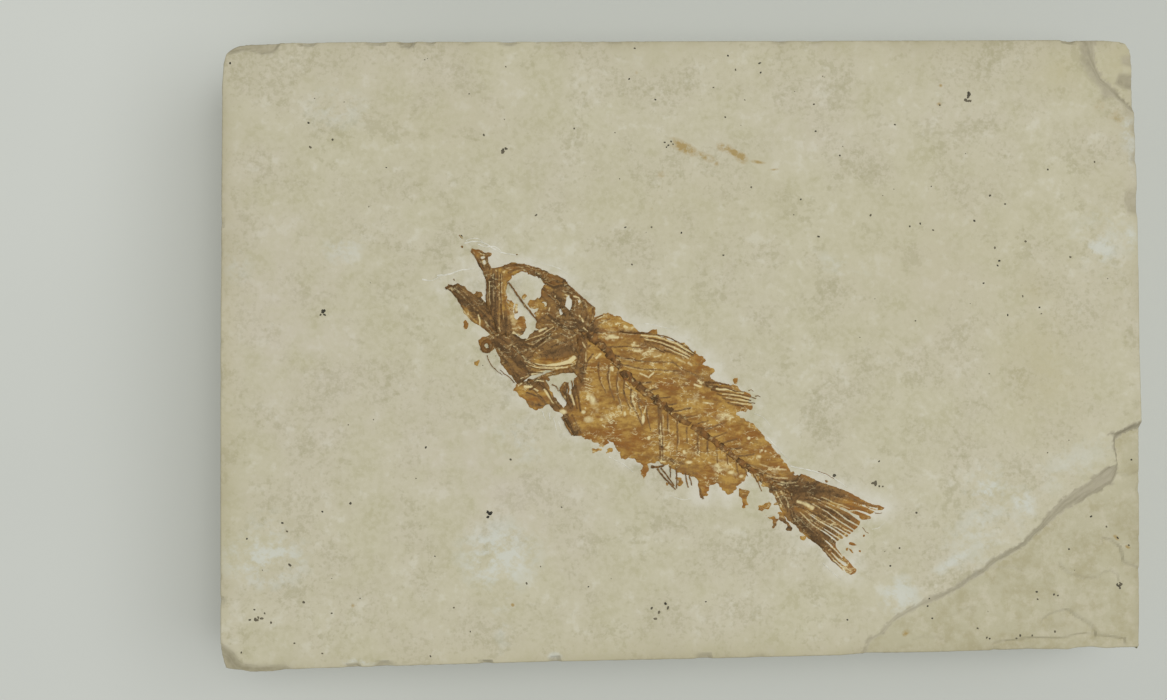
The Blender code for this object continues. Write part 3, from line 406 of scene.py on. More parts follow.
REAR_BACK_FIN = [
    ([(1.2, -1.42), (2.05, -1.45), (2.65, -1.6)], 0.12, 0.05),
    ([(1.3, -1.6), (1.75, -1.66), (2.35, -1.7), (2.95, -1.9), (3.4, -1.93)], 0.1, 0.045),
    ([(1.6, -1.8), (2.0, -1.9), (2.65, -2.0), (3.35, -2.1), (4.0, -2.3)], 0.07, 0.045),
    ([(1.9, -2.02), (2.25, -2.12), (2.95, -2.2), (3.75, -2.4)], 0.06, 0.045),
    ([(2.2, -2.25), (2.55, -2.35), (3.05, -2.43), (3.95, -2.53)], 0.06, 0.045),
    ([(2.5, -2.5), (2.8, -2.6), (3.4, -2.7)], 0.06, 0.04),
]
ANAL_FIN = [
    ([(-1.62, -5.93), (-1.3, -5.95), (-0.95, -5.88)], 0.15, 0.13),
    ([(-1.3, -6.05), (-0.9, -6.55), (-0.3, -7.15)], 0.1, 0.07),
    ([(-1.1, -6.0), (-0.75, -6.45), (-0.38, -6.95)], 0.09, 0.06),
    ([(-0.6, -5.9), (-0.58, -6.55)], 0.06, 0.05),
    ([(-0.28, -5.95), (-0.25, -6.5), (-0.25, -7.1)], 0.07, 0.06),
    ([(0.2, -6.3), (0.28, -6.7), (0.36, -7.05)], 0.07, 0.06),
    ([(0.4, -6.3), (0.47, -6.6), (0.56, -6.95)], 0.07, 0.05),
    ([(0.98, -7.1), (1.05, -7.4), (1.18, -7.68)], 0.08, 0.08),
]
TAIL_HUB = (5.6, -7.55)  # where the tail's rays fan out from
TAIL_GAPS = [
    ([(7.0, -7.9), (7.8, -8.35), (8.3, -8.75), (9.1, -9.25), (9.5, -9.5)], 0.03, 0.07),
    ([(7.3, -7.8), (8.25, -8.3), (8.9, -8.8), (9.45, -9.1), (9.7, -9.25)], 0.03, 0.08),
    ([(8.3, -8.0), (8.85, -8.25), (9.3, -8.6), (9.75, -8.9)], 0.03, 0.12),
    ([(9.0, -8.3), (9.4, -8.28), (9.8, -8.4), (10.3, -8.62)], 0.05, 0.09),
    ([(9.5, -7.95), (10.0, -8.15), (10.6, -8.4)], 0.02, 0.07),
    ([(6.45, -8.2), (7.3, -8.8), (8.1, -9.25), (8.75, -9.7), (9.0, -9.95)], 0.03, 0.08),
    ([(6.7, -8.3), (7.6, -8.85), (8.4, -9.25), (9.0, -9.6)], 0.02, 0.05),
    ([(6.35, -8.35), (7.05, -9.05), (7.9, -9.6), (8.4, -10.0), (8.6, -10.2)], 0.03, 0.07),
    ([(7.55, -9.75), (7.9, -10.05), (8.3, -10.45), (8.6, -10.8)], 0.04, 0.06),
    ([(7.1, -7.6), (8.0, -7.95), (8.9, -8.35), (9.5, -8.6)], 0.03, 0.05),
    ([(7.4, -8.4), (8.1, -8.85), (8.8, -9.3), (9.3, -9.55)], 0.02, 0.05),
    ([(6.9, -8.75), (7.7, -9.3), (8.4, -9.75), (8.75, -9.95)], 0.02, 0.05),
    ([(9.2, -7.85), (9.9, -8.05), (10.5, -8.2)], 0.02, 0.05),
    ([(7.6, -10.3), (8.2, -10.95), (8.65, -11.35), (8.8, -11.6)], 0.03, 0.06),
    ([(8.05, -10.55), (8.45, -10.95), (8.8, -11.2)], 0.05, 0.16),
]
STRAY_FIBRES = [
    ([(9.7, -9.2), (9.9, -9.45), (10.05, -9.5)], 0.03, 0.02),
    ([(10.35, -8.42), (10.55, -8.44), (10.75, -8.42)], 0.04, 0.03),
    ([(7.35, -6.2), (7.8, -6.35), (8.2, -6.6)], 0.03, 0.03),
    ([(3.95, -2.15), (4.1, -2.12), (4.25, -2.2)], 0.05, 0.03),
    ([(3.6, -1.85), (3.75, -1.8), (3.85, -1.9)], 0.05, 0.03),
    ([(-12.2, 4.15), (-12.15, 4.05)], 0.08, 0.05), ([(-8.85, 5.45), (-8.78, 5.42)], 0.07, 0.05),
    ([(-11.9, 6.48), (-11.8, 6.38), (-11.7, 6.3)], 0.08, 0.05),
    ([(-11.78, 5.9), (-11.72, 5.82)], 0.09, 0.06),
]

# How the films and bones are coloured. Lines: a path, its widths and its strength.
DARK_LINES = [
    ([(-10.42, 4.15), (-10.38, 3.5), (-10.45, 2.9)], 0.12, 0.08, 0.8),
    ([(-10.25, 4.25), (-10.2, 3.5), (-10.15, 2.55)], 0.08, 0.06, 0.75),
    ([(-10.05, 4.4), (-9.95, 3.7), (-9.95, 2.5), (-9.85, 1.4)], 0.07, 0.06, 0.6),
    ([(-9.85, 4.5), (-9.8, 3.6), (-9.85, 2.4)], 0.05, 0.05, 0.45),
    ([(-9.65, 4.55), (-9.6, 3.95), (-9.7, 3.15), (-9.65, 1.8)], 0.08, 0.06, 0.6),
    ([(-9.45, 3.0), (-9.35, 2.2), (-9.3, 1.4)], 0.07, 0.06, 0.45),
    ([(-12.2, 3.75), (-11.45, 3.15), (-10.85, 2.5), (-10.25, 1.9)], 0.1, 0.1, 0.8),
    ([(-12.0, 3.55), (-11.35, 2.75), (-10.85, 2.15)], 0.1, 0.08, 0.7),
    ([(-11.65, 3.65), (-11.05, 3.15), (-10.35, 2.5), (-9.85, 1.7)], 0.1, 0.1, 0.6),
    ([(-12.05, 3.15), (-11.65, 2.5), (-11.2, 1.9)], 0.07, 0.06, 0.55),
    ([(-9.75, 1.0), (-9.05, 0.5), (-8.55, 0.1), (-8.15, -0.3)], 0.1, 0.08, 0.6),
    ([(-9.85, 0.75), (-9.25, 0.1), (-8.65, -0.5), (-8.15, -0.9)], 0.1, 0.07, 0.6),
    ([(-9.75, 0.15), (-9.2, -0.5), (-8.65, -1.1), (-8.4, -1.4)], 0.09, 0.07, 0.7),
    ([(-9.45, -0.35), (-9.05, -0.9), (-8.7, -1.4)], 0.09, 0.08, 0.6),
    ([(-8.95, 1.25), (-8.55, 0.9), (-8.0, 0.75), (-7.4, 0.9)], 0.1, 0.1, 0.6),
    ([(-8.55, 0.1), (-8.4, -0.1), (-8.05, -0.05), (-7.9, 0.15)], 0.06, 0.05, 0.8),
    ([(-8.4, 0.6), (-7.9, 0.5), (-7.45, 0.85), (-6.95, 1.3)], 0.09, 0.07, 0.8),
    ([(-7.7, 0.4), (-7.0, 0.9), (-6.2, 1.2)], 0.14, 0.1, 0.4),
    ([(-7.6, 0.05), (-6.6, 0.35), (-5.7, 0.5)], 0.2, 0.14, 0.45),
    ([(-7.35, 3.9), (-6.8, 3.65), (-6.25, 3.85)], 0.12, 0.12, 0.9),
    ([(-7.45, 3.6), (-7.2, 3.3), (-6.8, 3.05), (-6.55, 2.55)], 0.1, 0.08, 0.7),
    ([(-6.4, 3.5), (-5.95, 3.35), (-5.45, 3.05), (-5.0, 2.55)], 0.12, 0.1, 0.7),
    ([(-5.8, 3.25), (-5.75, 2.75), (-6.0, 2.4)], 0.1, 0.08, 0.7),
    ([(-5.35, 2.9), (-5.0, 2.2), (-5.0, 1.8)], 0.1, 0.08, 0.7),
    ([(-7.65, 1.9), (-7.2, 2.25), (-6.85, 1.95), (-6.2, 1.9), (-5.6, 1.95)], 0.12, 0.12, 0.7),
    ([(-7.6, 3.3), (-7.2, 2.95), (-7.1, 2.4)], 0.08, 0.08, 0.6),
    ([(-5.6, 1.8), (-5.0, 1.3), (-4.4, 0.75), (-3.9, 0.3)], 0.4, 0.3, 0.55),
    ([(-3.3, 1.35), (-2.5, 1.25), (-1.7, 1.2)], 0.22, 0.12, 0.55),
    ([(-5.3, 1.3), (-5.25, 0.2), (-5.35, -0.8), (-5.25, -1.4)], 0.45, 0.35, 0.8),
    ([(1.2, -1.45), (1.5, -1.65), (2.0, -1.8)], 0.26, 0.1, 0.7),
    ([(-1.15, -2.8), (-1.12, -4.1), (-1.05, -5.5)], 0.26, 0.2, 0.55),
    ([(-1.0, -5.5), (-0.4, -5.75), (0.2, -6.1), (0.7, -6.3)], 0.4, 0.3, 0.35),
    ([(5.0, -7.0), (6.0, -7.1), (7.0, -7.25), (8.0, -7.3)], 0.6, 0.3, 0.75),
    ([(5.4, -7.7), (6.0, -8.5), (6.7, -9.2), (7.4, -9.9)], 0.5, 0.45, 0.75),
    ([(6.8, -6.9), (8.0, -7.3), (9.2, -7.7), (10.2, -8.1)], 0.3, 0.12, 0.5),
    ([(-6.35, -3.3), (-6.1, -3.8), (-5.7, -4.25)], 0.4, 0.4, 0.75),
    ([(6.3, -7.75), (7.6, -8.15), (9.0, -8.75)], 0.08, 0.06, 0.7),
    ([(6.2, -8.0), (7.5, -8.65), (8.9, -9.4)], 0.08, 0.06, 0.75),
    ([(6.1, -8.3), (7.2, -9.15), (8.5, -9.95)], 0.08, 0.06, 0.75),
    ([(6.0, -8.4), (6.9, -9.35), (7.9, -10.2), (8.75, -11.2)], 0.1, 0.1, 0.85),
    ([(6.9, -9.6), (7.7, -10.4), (8.4, -11.3)], 0.12, 0.08, 0.85),
    ([(6.6, -7.4), (8.0, -7.75), (9.6, -8.2)], 0.08, 0.06, 0.65),
    ([(6.8, -7.2), (8.2, -7.5), (9.4, -7.75), (10.6, -8.15)], 0.08, 0.05, 0.65),
    ([(-8.3, -1.95), (-7.7, -2.15), (-7.2, -2.65)], 0.08, 0.06, 0.8),
    ([(-8.0, -1.75), (-7.4, -2.3), (-6.95, -2.95)], 0.07, 0.06, 0.8),
    ([(-7.8, -2.6), (-7.35, -2.7), (-7.0, -2.95)], 0.12, 0.1, 0.6),
    ([(-8.2, -2.5), (-7.7, -2.65), (-7.4, -2.4)], 0.2, 0.2, 0.35),
]
CREAM_LINES = [
    ([(-10.3, 4.0), (-10.3, 3.5), (-10.25, 2.75)], 0.04, 0.03, 0.8),
    ([(-10.0, 3.4), (-10.02, 2.9)], 0.03, 0.03, 0.5), ([(-9.48, 3.75), (-9.42, 3.2)], 0.07, 0.05, 0.5),
    ([(-9.95, 4.6), (-9.9, 4.55)], 0.06, 0.06, 0.8), ([(-10.05, 4.4), (-10.08, 4.35)], 0.06, 0.05, 0.7),
    ([(-9.55, 4.5), (-9.5, 4.46)], 0.07, 0.06, 0.7), ([(-9.75, 4.3), (-9.72, 4.2)], 0.05, 0.05, 0.6),
    ([(-10.72, 5.3), (-10.58, 5.28)], 0.1, 0.1, 1.2), ([(-10.6, 5.1), (-10.53, 4.98)], 0.13, 0.13, 1.1),
    ([(-9.3, 4.62), (-9.05, 4.68)], 0.04, 0.04, 0.6),
    ([(-12.15, 3.65), (-11.85, 3.35)], 0.04, 0.03, 0.8),
    ([(-12.5, 3.72), (-12.46, 3.68)], 0.07, 0.07, 0.9),
    ([(-12.33, 3.58), (-12.28, 3.52)], 0.06, 0.06, 0.8),
    ([(-11.72, 2.45), (-11.5, 2.15), (-11.33, 1.95)], 0.05, 0.04, 0.9),
    ([(-10.88, 2.2), (-10.78, 1.85), (-10.82, 1.62)], 0.05, 0.07, 1.2),
    ([(-10.45, 1.62), (-10.2, 1.3)], 0.03, 0.03, 0.6), ([(-9.78, 1.5), (-9.72, 1.32)], 0.05, 0.04, 0.9),
    ([(-9.95, 1.18), (-9.82, 1.12)], 0.09, 0.07, 1.2),
    ([(-9.0, 1.25), (-8.75, 1.15), (-8.5, 1.02)], 0.1, 0.07, 1.1),
    ([(-8.35, 0.85), (-7.95, 0.97), (-7.4, 1.2), (-6.85, 1.58)], 0.035, 0.03, 1.0),
    ([(-8.3, 0.68), (-7.9, 0.65), (-7.5, 0.95)], 0.03, 0.03, 0.7),
    ([(-8.55, 0.02), (-8.35, -0.2)], 0.04, 0.03, 0.9),
    ([(-8.4, -0.25), (-7.9, -0.42), (-7.3, -0.48)], 0.05, 0.06, 1.0),
    ([(-8.3, -0.5), (-7.8, -0.62), (-7.0, -0.64), (-6.4, -0.6)], 0.04, 0.05, 1.1),
    ([(-8.0, -0.98), (-7.3, -0.8), (-6.6, -0.66), (-6.1, -0.58)], 0.08, 0.06, 1.2),
    ([(-8.6, -1.2), (-8.2, -1.05)], 0.06, 0.05, 0.7),
    ([(-5.8, 3.2), (-5.5, 3.12), (-5.4, 2.9), (-5.5, 2.75)], 0.07, 0.05, 1.1),
    ([(-5.45, 2.15), (-5.42, 2.1)], 0.09, 0.08, 1.2), ([(-5.35, 2.0), (-5.25, 1.82)], 0.05, 0.05, 1.0),
    ([(-7.05, 2.58), (-7.15, 2.25)], 0.05, 0.04, 0.8), ([(-6.75, 3.2), (-6.8, 3.05)], 0.06, 0.05, 0.8),
    ([(-6.2, 3.3), (-6.05, 3.22)], 0.05, 0.05, 0.7), ([(-7.6, 1.35), (-7.25, 1.5)], 0.1, 0.06, 1.2),
    ([(-6.95, 1.9), (-6.75, 1.75)], 0.05, 0.04, 0.6), ([(-7.0, 4.35), (-6.7, 4.3)], 0.04, 0.03, 0.5),
    ([(-5.25, 1.5), (-4.85, 1.22)], 0.05, 0.04, 0.9), ([(-4.75, 1.95), (-4.25, 2.1)], 0.06, 0.06, 0.8),
    ([(-5.3, 0.7), (-5.15, 0.45)], 0.08, 0.06, 1.0), ([(-5.1, 0.2), (-5.15, -0.25)], 0.05, 0.04, 0.8),
    ([(-4.55, -0.1), (-4.35, 0.1)], 0.12, 0.12, 0.9),
    ([(-3.75, -0.62), (-3.7, -0.75)], 0.15, 0.12, 1.0),
    ([(-4.0, 0.95), (-3.65, 1.02), (-3.4, 0.98)], 0.16, 0.14, 0.9),
    ([(-3.05, 1.6), (-2.9, 1.55)], 0.13, 0.1, 1.0), ([(-3.5, 1.7), (-3.35, 1.75)], 0.1, 0.08, 0.7),
    ([(-2.7, 0.62), (-2.3, 0.55)], 0.08, 0.07, 0.6), ([(-2.5, 0.3), (-2.1, 0.28)], 0.14, 0.1, 0.7),
    ([(-2.2, -0.95), (-1.75, -1.15), (-1.5, -0.9)], 0.06, 0.08, 1.0),
    ([(-1.6, 0.35), (-1.3, 0.4)], 0.08, 0.06, 0.8), ([(-1.45, -0.05), (-1.1, 0.05)], 0.08, 0.08, 0.7),
    ([(-2.15, 1.12), (-1.3, 1.05), (-0.2, 0.62), (0.6, 0.12)], 0.05, 0.07, 1.2),
    ([(-1.95, 0.92), (-1.1, 0.73), (-0.2, 0.38), (0.45, 0.0)], 0.04, 0.07, 1.2),
    ([(-0.85, 0.42), (0.0, 0.08), (0.35, -0.12)], 0.04, 0.08, 1.1),
    ([(-0.3, -0.1), (0.2, -0.35)], 0.1, 0.1, 0.6), ([(0.4, -0.35), (0.55, -0.5)], 0.14, 0.1, 0.8),
    ([(0.7, -1.55), (1.05, -1.65)], 0.1, 0.1, 0.9), ([(0.9, -1.3), (1.1, -1.5)], 0.08, 0.06, 0.8),
    ([(1.85, -1.77), (2.5, -1.8), (3.3, -1.98)], 0.07, 0.09, 1.3),
    ([(2.2, -2.02), (3.05, -2.12), (3.85, -2.33)], 0.05, 0.07, 1.2),
    ([(2.4, -2.24), (3.05, -2.33), (3.8, -2.45)], 0.05, 0.06, 1.1),
    ([(2.65, -2.47), (3.35, -2.58), (3.85, -2.62)], 0.05, 0.06, 1.1),
    ([(1.2, -2.5), (1.7, -2.55)], 0.1, 0.1, 0.7), ([(0.6, -2.95), (0.2, -3.05)], 0.04, 0.03, 0.6),
    ([(1.9, -3.2), (2.3, -3.15), (2.8, -3.3)], 0.1, 0.1, 0.7),
    ([(-2.55, -2.0), (-2.62, -2.3), (-2.45, -2.85)], 0.1, 0.08, 0.55),
    ([(-3.0, -1.45), (-2.75, -1.75)], 0.08, 0.05, 0.9),
    ([(-2.0, -3.05), (-1.9, -2.7)], 0.07, 0.05, 0.8), ([(-1.0, -3.1), (-0.95, -3.6)], 0.05, 0.04, 0.7),
    ([(-0.6, -4.6), (-0.75, -4.9)], 0.08, 0.08, 0.8), ([(-1.6, -5.8), (-1.35, -5.82)], 0.06, 0.06, 1.0),
    ([(-1.1, -5.65), (-0.85, -5.68)], 0.06, 0.06, 0.9),
    ([(-1.0, -6.15), (-0.75, -6.3), (-0.62, -6.65)], 0.12, 0.1, 1.1),
    ([(-0.45, -6.1), (-0.42, -6.7)], 0.08, 0.07, 1.0), ([(0.32, -6.4), (0.45, -6.9)], 0.05, 0.05, 0.9),
    ([(3.75, -6.35), (4.05, -6.95)], 0.06, 0.05, 1.0), ([(4.7, -6.05), (5.6, -6.1)], 0.12, 0.1, 0.7),
    ([(4.6, -6.42), (5.2, -6.55), (5.7, -6.55)], 0.05, 0.05, 0.9),
    ([(5.3, -6.78), (6.1, -6.8)], 0.04, 0.03, 0.8), ([(4.2, -5.8), (4.8, -6.0)], 0.08, 0.08, 0.6),
    ([(6.25, -7.8), (6.6, -7.9), (7.0, -8.15)], 0.14, 0.24, 0.9),
    ([(5.15, -7.45), (5.4, -7.95)], 0.04, 0.04, 0.9), ([(5.6, -7.6), (5.75, -8.1)], 0.04, 0.04, 0.7),
    ([(7.5, -7.55), (8.3, -7.9), (9.0, -8.15)], 0.04, 0.05, 0.9),
    ([(7.8, -7.4), (8.8, -7.75), (9.6, -8.05)], 0.03, 0.03, 0.5),
    ([(6.1, -8.5), (6.7, -9.1), (7.3, -9.6)], 0.03, 0.03, 0.5),
    ([(5.9, -8.55), (6.4, -9.1)], 0.03, 0.03, 0.5),
    ([(-8.4, -1.6), (-8.0, -1.7), (-7.7, -1.85)], 0.1, 0.08, 0.9),
    ([(-8.75, -1.6), (-8.55, -1.45)], 0.05, 0.05, 0.8),
    ([(-7.35, -1.8), (-7.1, -2.15), (-6.85, -2.5)], 0.1, 0.1, 1.0),
    ([(-7.75, -1.3), (-7.4, -1.35)], 0.06, 0.05, 0.9),
    ([(-7.95, -0.42), (-7.3, -0.52), (-6.6, -0.45), (-6.0, -0.3), (-5.75, -0.1)], 0.06, 0.2, 1.5),
    ([(-6.0, -1.5), (-5.95, -2.0), (-5.75, -2.6)], 0.12, 0.08, 1.1),
    ([(-6.5, -1.6), (-6.3, -1.5)], 0.05, 0.05, 0.8), ([(-5.22, -1.2), (-4.98, -1.28)], 0.05, 0.04, 0.9),
    ([(-5.2, -1.36), (-4.9, -1.46)], 0.05, 0.04, 0.9),
    ([(-5.18, -1.5), (-4.82, -1.63)], 0.05, 0.04, 1.0),
    ([(-5.12, -1.66), (-4.75, -1.8)], 0.05, 0.04, 1.0),
    ([(-5.1, -1.82), (-4.72, -1.96)], 0.05, 0.04, 0.9),
    ([(-5.05, -2.0), (-4.7, -2.12)], 0.05, 0.04, 0.8),
]
DEEP_PATCHES = [  # where the film lies thick and rust brown: middle, radii, strength
    ((-2.7, -4.7), (1.1, 0.6), 0.8), ((-3.6, -4.2), (0.7, 0.4), 0.6), ((-4.6, -4.4), (0.5, 0.35), 0.7),
    ((1.7, -2.95), (0.9, 0.45), 0.55), ((0.0, -1.35), (1.1, 0.45), 0.6),
    ((-4.3, 1.35), (0.7, 0.3), 0.5), ((3.9, -4.2), (0.9, 0.35), 0.8), ((4.8, -5.1), (0.8, 0.4), 0.8),
    ((5.6, -5.9), (0.6, 0.35), 0.7), ((2.5, -6.95), (0.7, 0.4), 0.8), ((1.3, -7.2), (0.3, 0.4), 0.7),
    ((-1.95, -6.1), (0.25, 0.5), 1.0), ((3.4, -7.7), (0.35, 0.6), 0.9), ((4.6, -8.1), (0.7, 0.3), 0.6),
    ((5.1, -8.8), (0.5, 0.4), 0.6), ((1.0, -0.1), (0.4, 0.4), 0.9), ((3.55, -2.05), (0.25, 0.2), 0.9),
    ((2.9, -1.4), (0.25, 0.25), 0.8), ((-8.0, -2.4), (0.7, 0.4), 0.7), ((-8.6, 1.6), (0.4, 0.5), 0.6),
    ((-7.95, 2.8), (0.4, 0.3), 0.6), ((-11.5, 2.1), (0.5, 0.3), 0.7), ((-10.85, 3.3), (0.25, 0.2), 0.6),
    ((-11.1, 5.5), (0.3, 0.25), 0.8), ((-8.2, 4.75), (1.0, 0.22), 1.0), ((9.4, -8.1), (1.8, 0.9), 0.8),
    ((8.3, -10.7), (1.3, 1.1), 0.85), ((8.6, -9.2), (1.3, 0.8), 0.6), ((-4.9, -2.7), (0.3, 0.25), 0.6),
    ((0.4, -4.9), (1.0, 0.5), 0.35), ((1.6, -6.3), (0.8, 0.4), 0.5), ((-0.9, -1.5), (0.8, 0.3), 0.4),
    ((-1.6, 0.7), (1.6, 0.6), 0.45), ((0.4, -0.6), (1.4, 0.5), 0.45), ((2.3, -3.9), (0.7, 0.4), 0.4),
    ((-6.8, -0.2), (1.0, 0.12), 0.9),
]
PALE_PATCHES = [  # where the film is thin, ochre and full of holes
    ((-4.0, -3.0), (0.9, 0.9), 0.55), ((-4.7, -2.2), (0.5, 0.8), 0.7), ((-3.6, 1.2), (0.9, 0.6), 0.25),
    ((2.2, -6.0), (0.7, 0.4), 0.6), ((3.2, -6.4), (0.6, 0.4), 0.9), ((2.3, -3.2), (0.8, 0.3), 0.7),
    ((5.2, -6.2), (0.9, 0.3), 0.6), ((-2.4, 0.5), (0.6, 0.4), 0.3), ((-1.4, 0.2), (0.7, 0.4), 0.4),
    ((0.6, -0.6), (0.6, 0.5), 0.6), ((1.2, -2.4), (0.8, 0.35), 0.4), ((4.2, -5.3), (0.5, 0.4), 0.5),
    ((-8.95, 2.3), (0.4, 0.8), 0.75), ((9.0, -11.15), (0.4, 0.5), 0.6), ((10.3, -8.2), (0.5, 0.2), 0.4),
    ((-0.8, -4.7), (0.4, 0.6), 0.4), ((-7.0, -2.5), (0.4, 0.4), 0.4), ((0.9, -5.3), (0.9, 0.4), 0.35),
    ((-4.7, -4.8), (0.5, 0.3), 0.5),
]
DARK_PATCHES = [  # where dark brown bone lies under or over the film
    ((-6.6, 0.65), (1.3, 0.75), 0.9), ((-6.3, 3.95), (0.55, 0.3), 0.9), ((-11.5, 3.1), (0.8, 0.6), 0.9),
    ((-9.2, 0.3), (1.2, 1.1), 0.95), ((-10.1, 3.3), (0.6, 1.5), 0.7), ((-6.2, 2.2), (1.8, 1.5), 0.6),
    ((-9.9, 1.6), (0.9, 0.9), 0.75), ((-10.6, 4.7), (0.5, 1.0), 0.7), ((-5.2, 1.5), (0.9, 0.8), 0.7),
    ((6.3, -7.3), (1.8, 0.9), 0.75), ((6.6, -9.0), (1.3, 0.9), 0.8), ((7.7, -7.4), (1.6, 0.7), 0.55),
    ((-6.1, -3.6), (0.3, 0.35), 0.8), ((-5.75, -4.05), (0.3, 0.3), 0.8), ((7.5, -9.7), (1.1, 0.8), 0.7),
    ((8.2, -8.6), (1.2, 0.6), 0.45), ((-1.8, 0.4), (1.8, 0.6), 0.28), ((0.6, -1.2), (1.3, 0.5), 0.28),
    ((8.1, -10.6), (0.8, 0.8), 0.4), ((-8.8, -0.8), (1.0, 0.7), 0.5), ((-8.1, -1.35), (0.8, 0.25), 0.8),
    ((-7.4, -1.55), (0.4, 0.3), 0.7), ((-6.7, -2.5), (0.3, 0.5), 0.7), ((-6.0, -2.0), (0.4, 0.9), 0.8),
    ((-12.2, 3.6), (0.6, 0.35), 0.9), ((-10.8, 2.5), (0.8, 0.8), 0.9), ((-7.5, 4.4), (0.9, 0.4), 0.6),
    ((-7.3, 0.9), (1.0, 0.7), 0.7),
]

# ---------------------------------------------------------------- drawing in numbers


def lumps(x, y, size, seed):
    """Smooth random heights from -1 to 1, with lumps of about that size in millimetres."""
    side = 97
    table = np.random.RandomState(seed).uniform(-1.0, 1.0, (side, side))
    turn = 0.6 + seed
    u = (x * math.cos(turn) - y * math.sin(turn)) / size + side
    v = (x * math.sin(turn) + y * math.cos(turn)) / size + side
    return between_cells(table, u, v)


def between_cells(table, u, v):
    """A table's value between its cells, which repeats past its sides."""
    side = len(table)
    i, j = np.floor(u).astype(int), np.floor(v).astype(int)
    f, g = u - i, v - j
    f, g = f * f * (3 - 2 * f), g * g * (3 - 2 * g)
    low = table[i % side, j % side] * (1 - f) + table[(i + 1) % side, j % side] * f
    high = table[i % side, (j + 1) % side] * (1 - f) + table[(i + 1) % side, (j + 1) % side] * f
    return low * (1 - g) + high * g


def rough(x, y, size, seed, octaves=3):
    """Lumps with finer and lower lumps on them, from about -1 to 1."""
    total = sum(lumps(x, y, size / 2**k, seed + 7 * k) / 2**k for k in range(octaves))
    return total / (2 - 0.5 ** (octaves - 1))


def distance_to(path, x, y):
    """How far each place is from a path."""
    best = np.full(np.shape(x), 1e9)
    for (ax, ay), (bx, by) in zip(path, path[1:]):
        dx, dy = bx - ax, by - ay
        share = np.clip(((x - ax) * dx + (y - ay) * dy) / (dx * dx + dy * dy), 0, 1)
        best = np.minimum(best, np.hypot(x - ax - share * dx, y - ay - share * dy))
    return best


def inside(outline, x, y):
    """Whether each place lies inside a closed outline."""
    within = np.zeros(np.shape(x), bool)
    for (ax, ay), (bx, by) in zip(outline, outline[1:] + outline[:1]):
        if ay != by:
            within ^= ((ay > y) != (by > y)) & (x < ax + (y - ay) * (bx - ax) / (by - ay))
    return within


def depth_inside(outline, x, y):
    """How far each place lies inside a closed outline, and below zero outside it."""
    away = distance_to(outline + outline[:1], x, y)
    return np.where(inside(outline, x, y), away, -away)


def past_line(line, closing, x, y):
    """How far each place lies past a line, on the side of the closing points, and below zero before it."""
    away = distance_to(line, x, y)
    return np.where(inside(line + closing, x, y), away, -away)


def fall_between(top, foot):
    """From 0 at the top of a slope to 1 at its foot, from how far a place lies past each."""
    return np.where(top <= 0, 0.0, np.where(foot >= 0, 1.0, top / np.maximum(top - foot, 1e-6)))


def on_scale(values, limits):
    """The value at x on a straight line given as (x0, value0, x1, value1)."""
    x0, value0, x1, value1 = limits
    return np.interp(values, [x0, x1], [value0, value1])


def smooth(path, step=0.12):
    """Points about a step apart on a smooth curve through the path's points."""
    points = [np.array(point, float) for point in path]
    points = [2 * points[0] - points[1]] + points + [2 * points[-1] - points[-2]]
    curve = []
    for a, b, c, d in zip(points, points[1:], points[2:], points[3:]):
        count = max(1, round(float(np.hypot(*(c - b))) / step))
        for k in range(count):
            t = k / count
            curve.append(0.5 * (2 * b + (c - a) * t + (2 * a - 5 * b + 4 * c - d) * t * t
                                + (3 * b - a - 3 * c + d) * t**3))
    curve.append(points[-2])
    return curve


def slopes(field, x, y, nudge=0.01):
    """A field at each place, and how steeply it rises there along X and along Y."""
    here = field(x, y)
    return here, (field(x + nudge, y) - here) / nudge, (field(x, y + nudge) - here) / nudge


def pulled_onto(x, y, field, reach):
    """Moves places that lie within reach of a field's zero line onto that line, and says which moved."""
    here, slope_x, slope_y = slopes(field, x, y)
    steep = np.maximum(slope_x**2 + slope_y**2, 0.2)
    close = np.abs(here) < reach
    moved_x = np.where(close, x - here * slope_x / steep, x)
    moved_y = np.where(close, y - here * slope_y / steep, y)
    return moved_x, moved_y, close


# ---------------------------------------------------------------- mesh helpers


def deselect_all():
    if bpy.context.mode != "OBJECT":
        bpy.ops.object.mode_set(mode="OBJECT")
    bpy.ops.object.select_all(action="DESELECT")


def make_active(piece):
    deselect_all()
    piece.select_set(True)
    bpy.context.view_layer.objects.active = piece


def coordinates(piece):
    """The piece's points in millimetres, one row each."""
    flat = np.empty(len(piece.data.vertices) * 3)
    piece.data.vertices.foreach_get("co", flat)
    return flat.reshape(-1, 3) / MM


def set_coordinates(piece, points):
    piece.data.vertices.foreach_set("co", (points * MM).ravel())
    piece.data.update()


def set_attribute(piece, name, values):
    layer = piece.data.attributes.new(name, "FLOAT", "POINT")
    layer.data.foreach_set("value", np.clip(values, 0, 1).astype(np.float32))


def apply_modifier(piece, kind, **settings):
    make_active(piece)
    modifier = piece.modifiers.new(kind.lower(), kind)
    for name, value in settings.items():
        setattr(modifier, name, value)
    bpy.ops.object.modifier_apply(modifier=modifier.name)


def finish_piece(piece, material, slot, *nodes, angle=35):
    """Gives a piece its finish and its place on the frame, and hides the CAD nodes that it stands for."""
    make_active(piece)
    bpy.ops.object.shade_smooth_by_angle(angle=math.radians(angle))
    piece.data.materials.clear()
    piece.data.materials.append(material)
    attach(piece, "root")
    if nodes:
        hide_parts(*nodes)


# ---------------------------------------------------------------- materials


def linear(hex_colour):
    """A hex sRGB colour as linear red, green, blue and alpha."""
    parts = [int(hex_colour[i:i + 2], 16) / 255 for i in (1, 3, 5)]
    return [c / 12.92 if c <= 0.04045 else ((c + 0.055) / 1.055) ** 2.4 for c in parts] + [1.0]


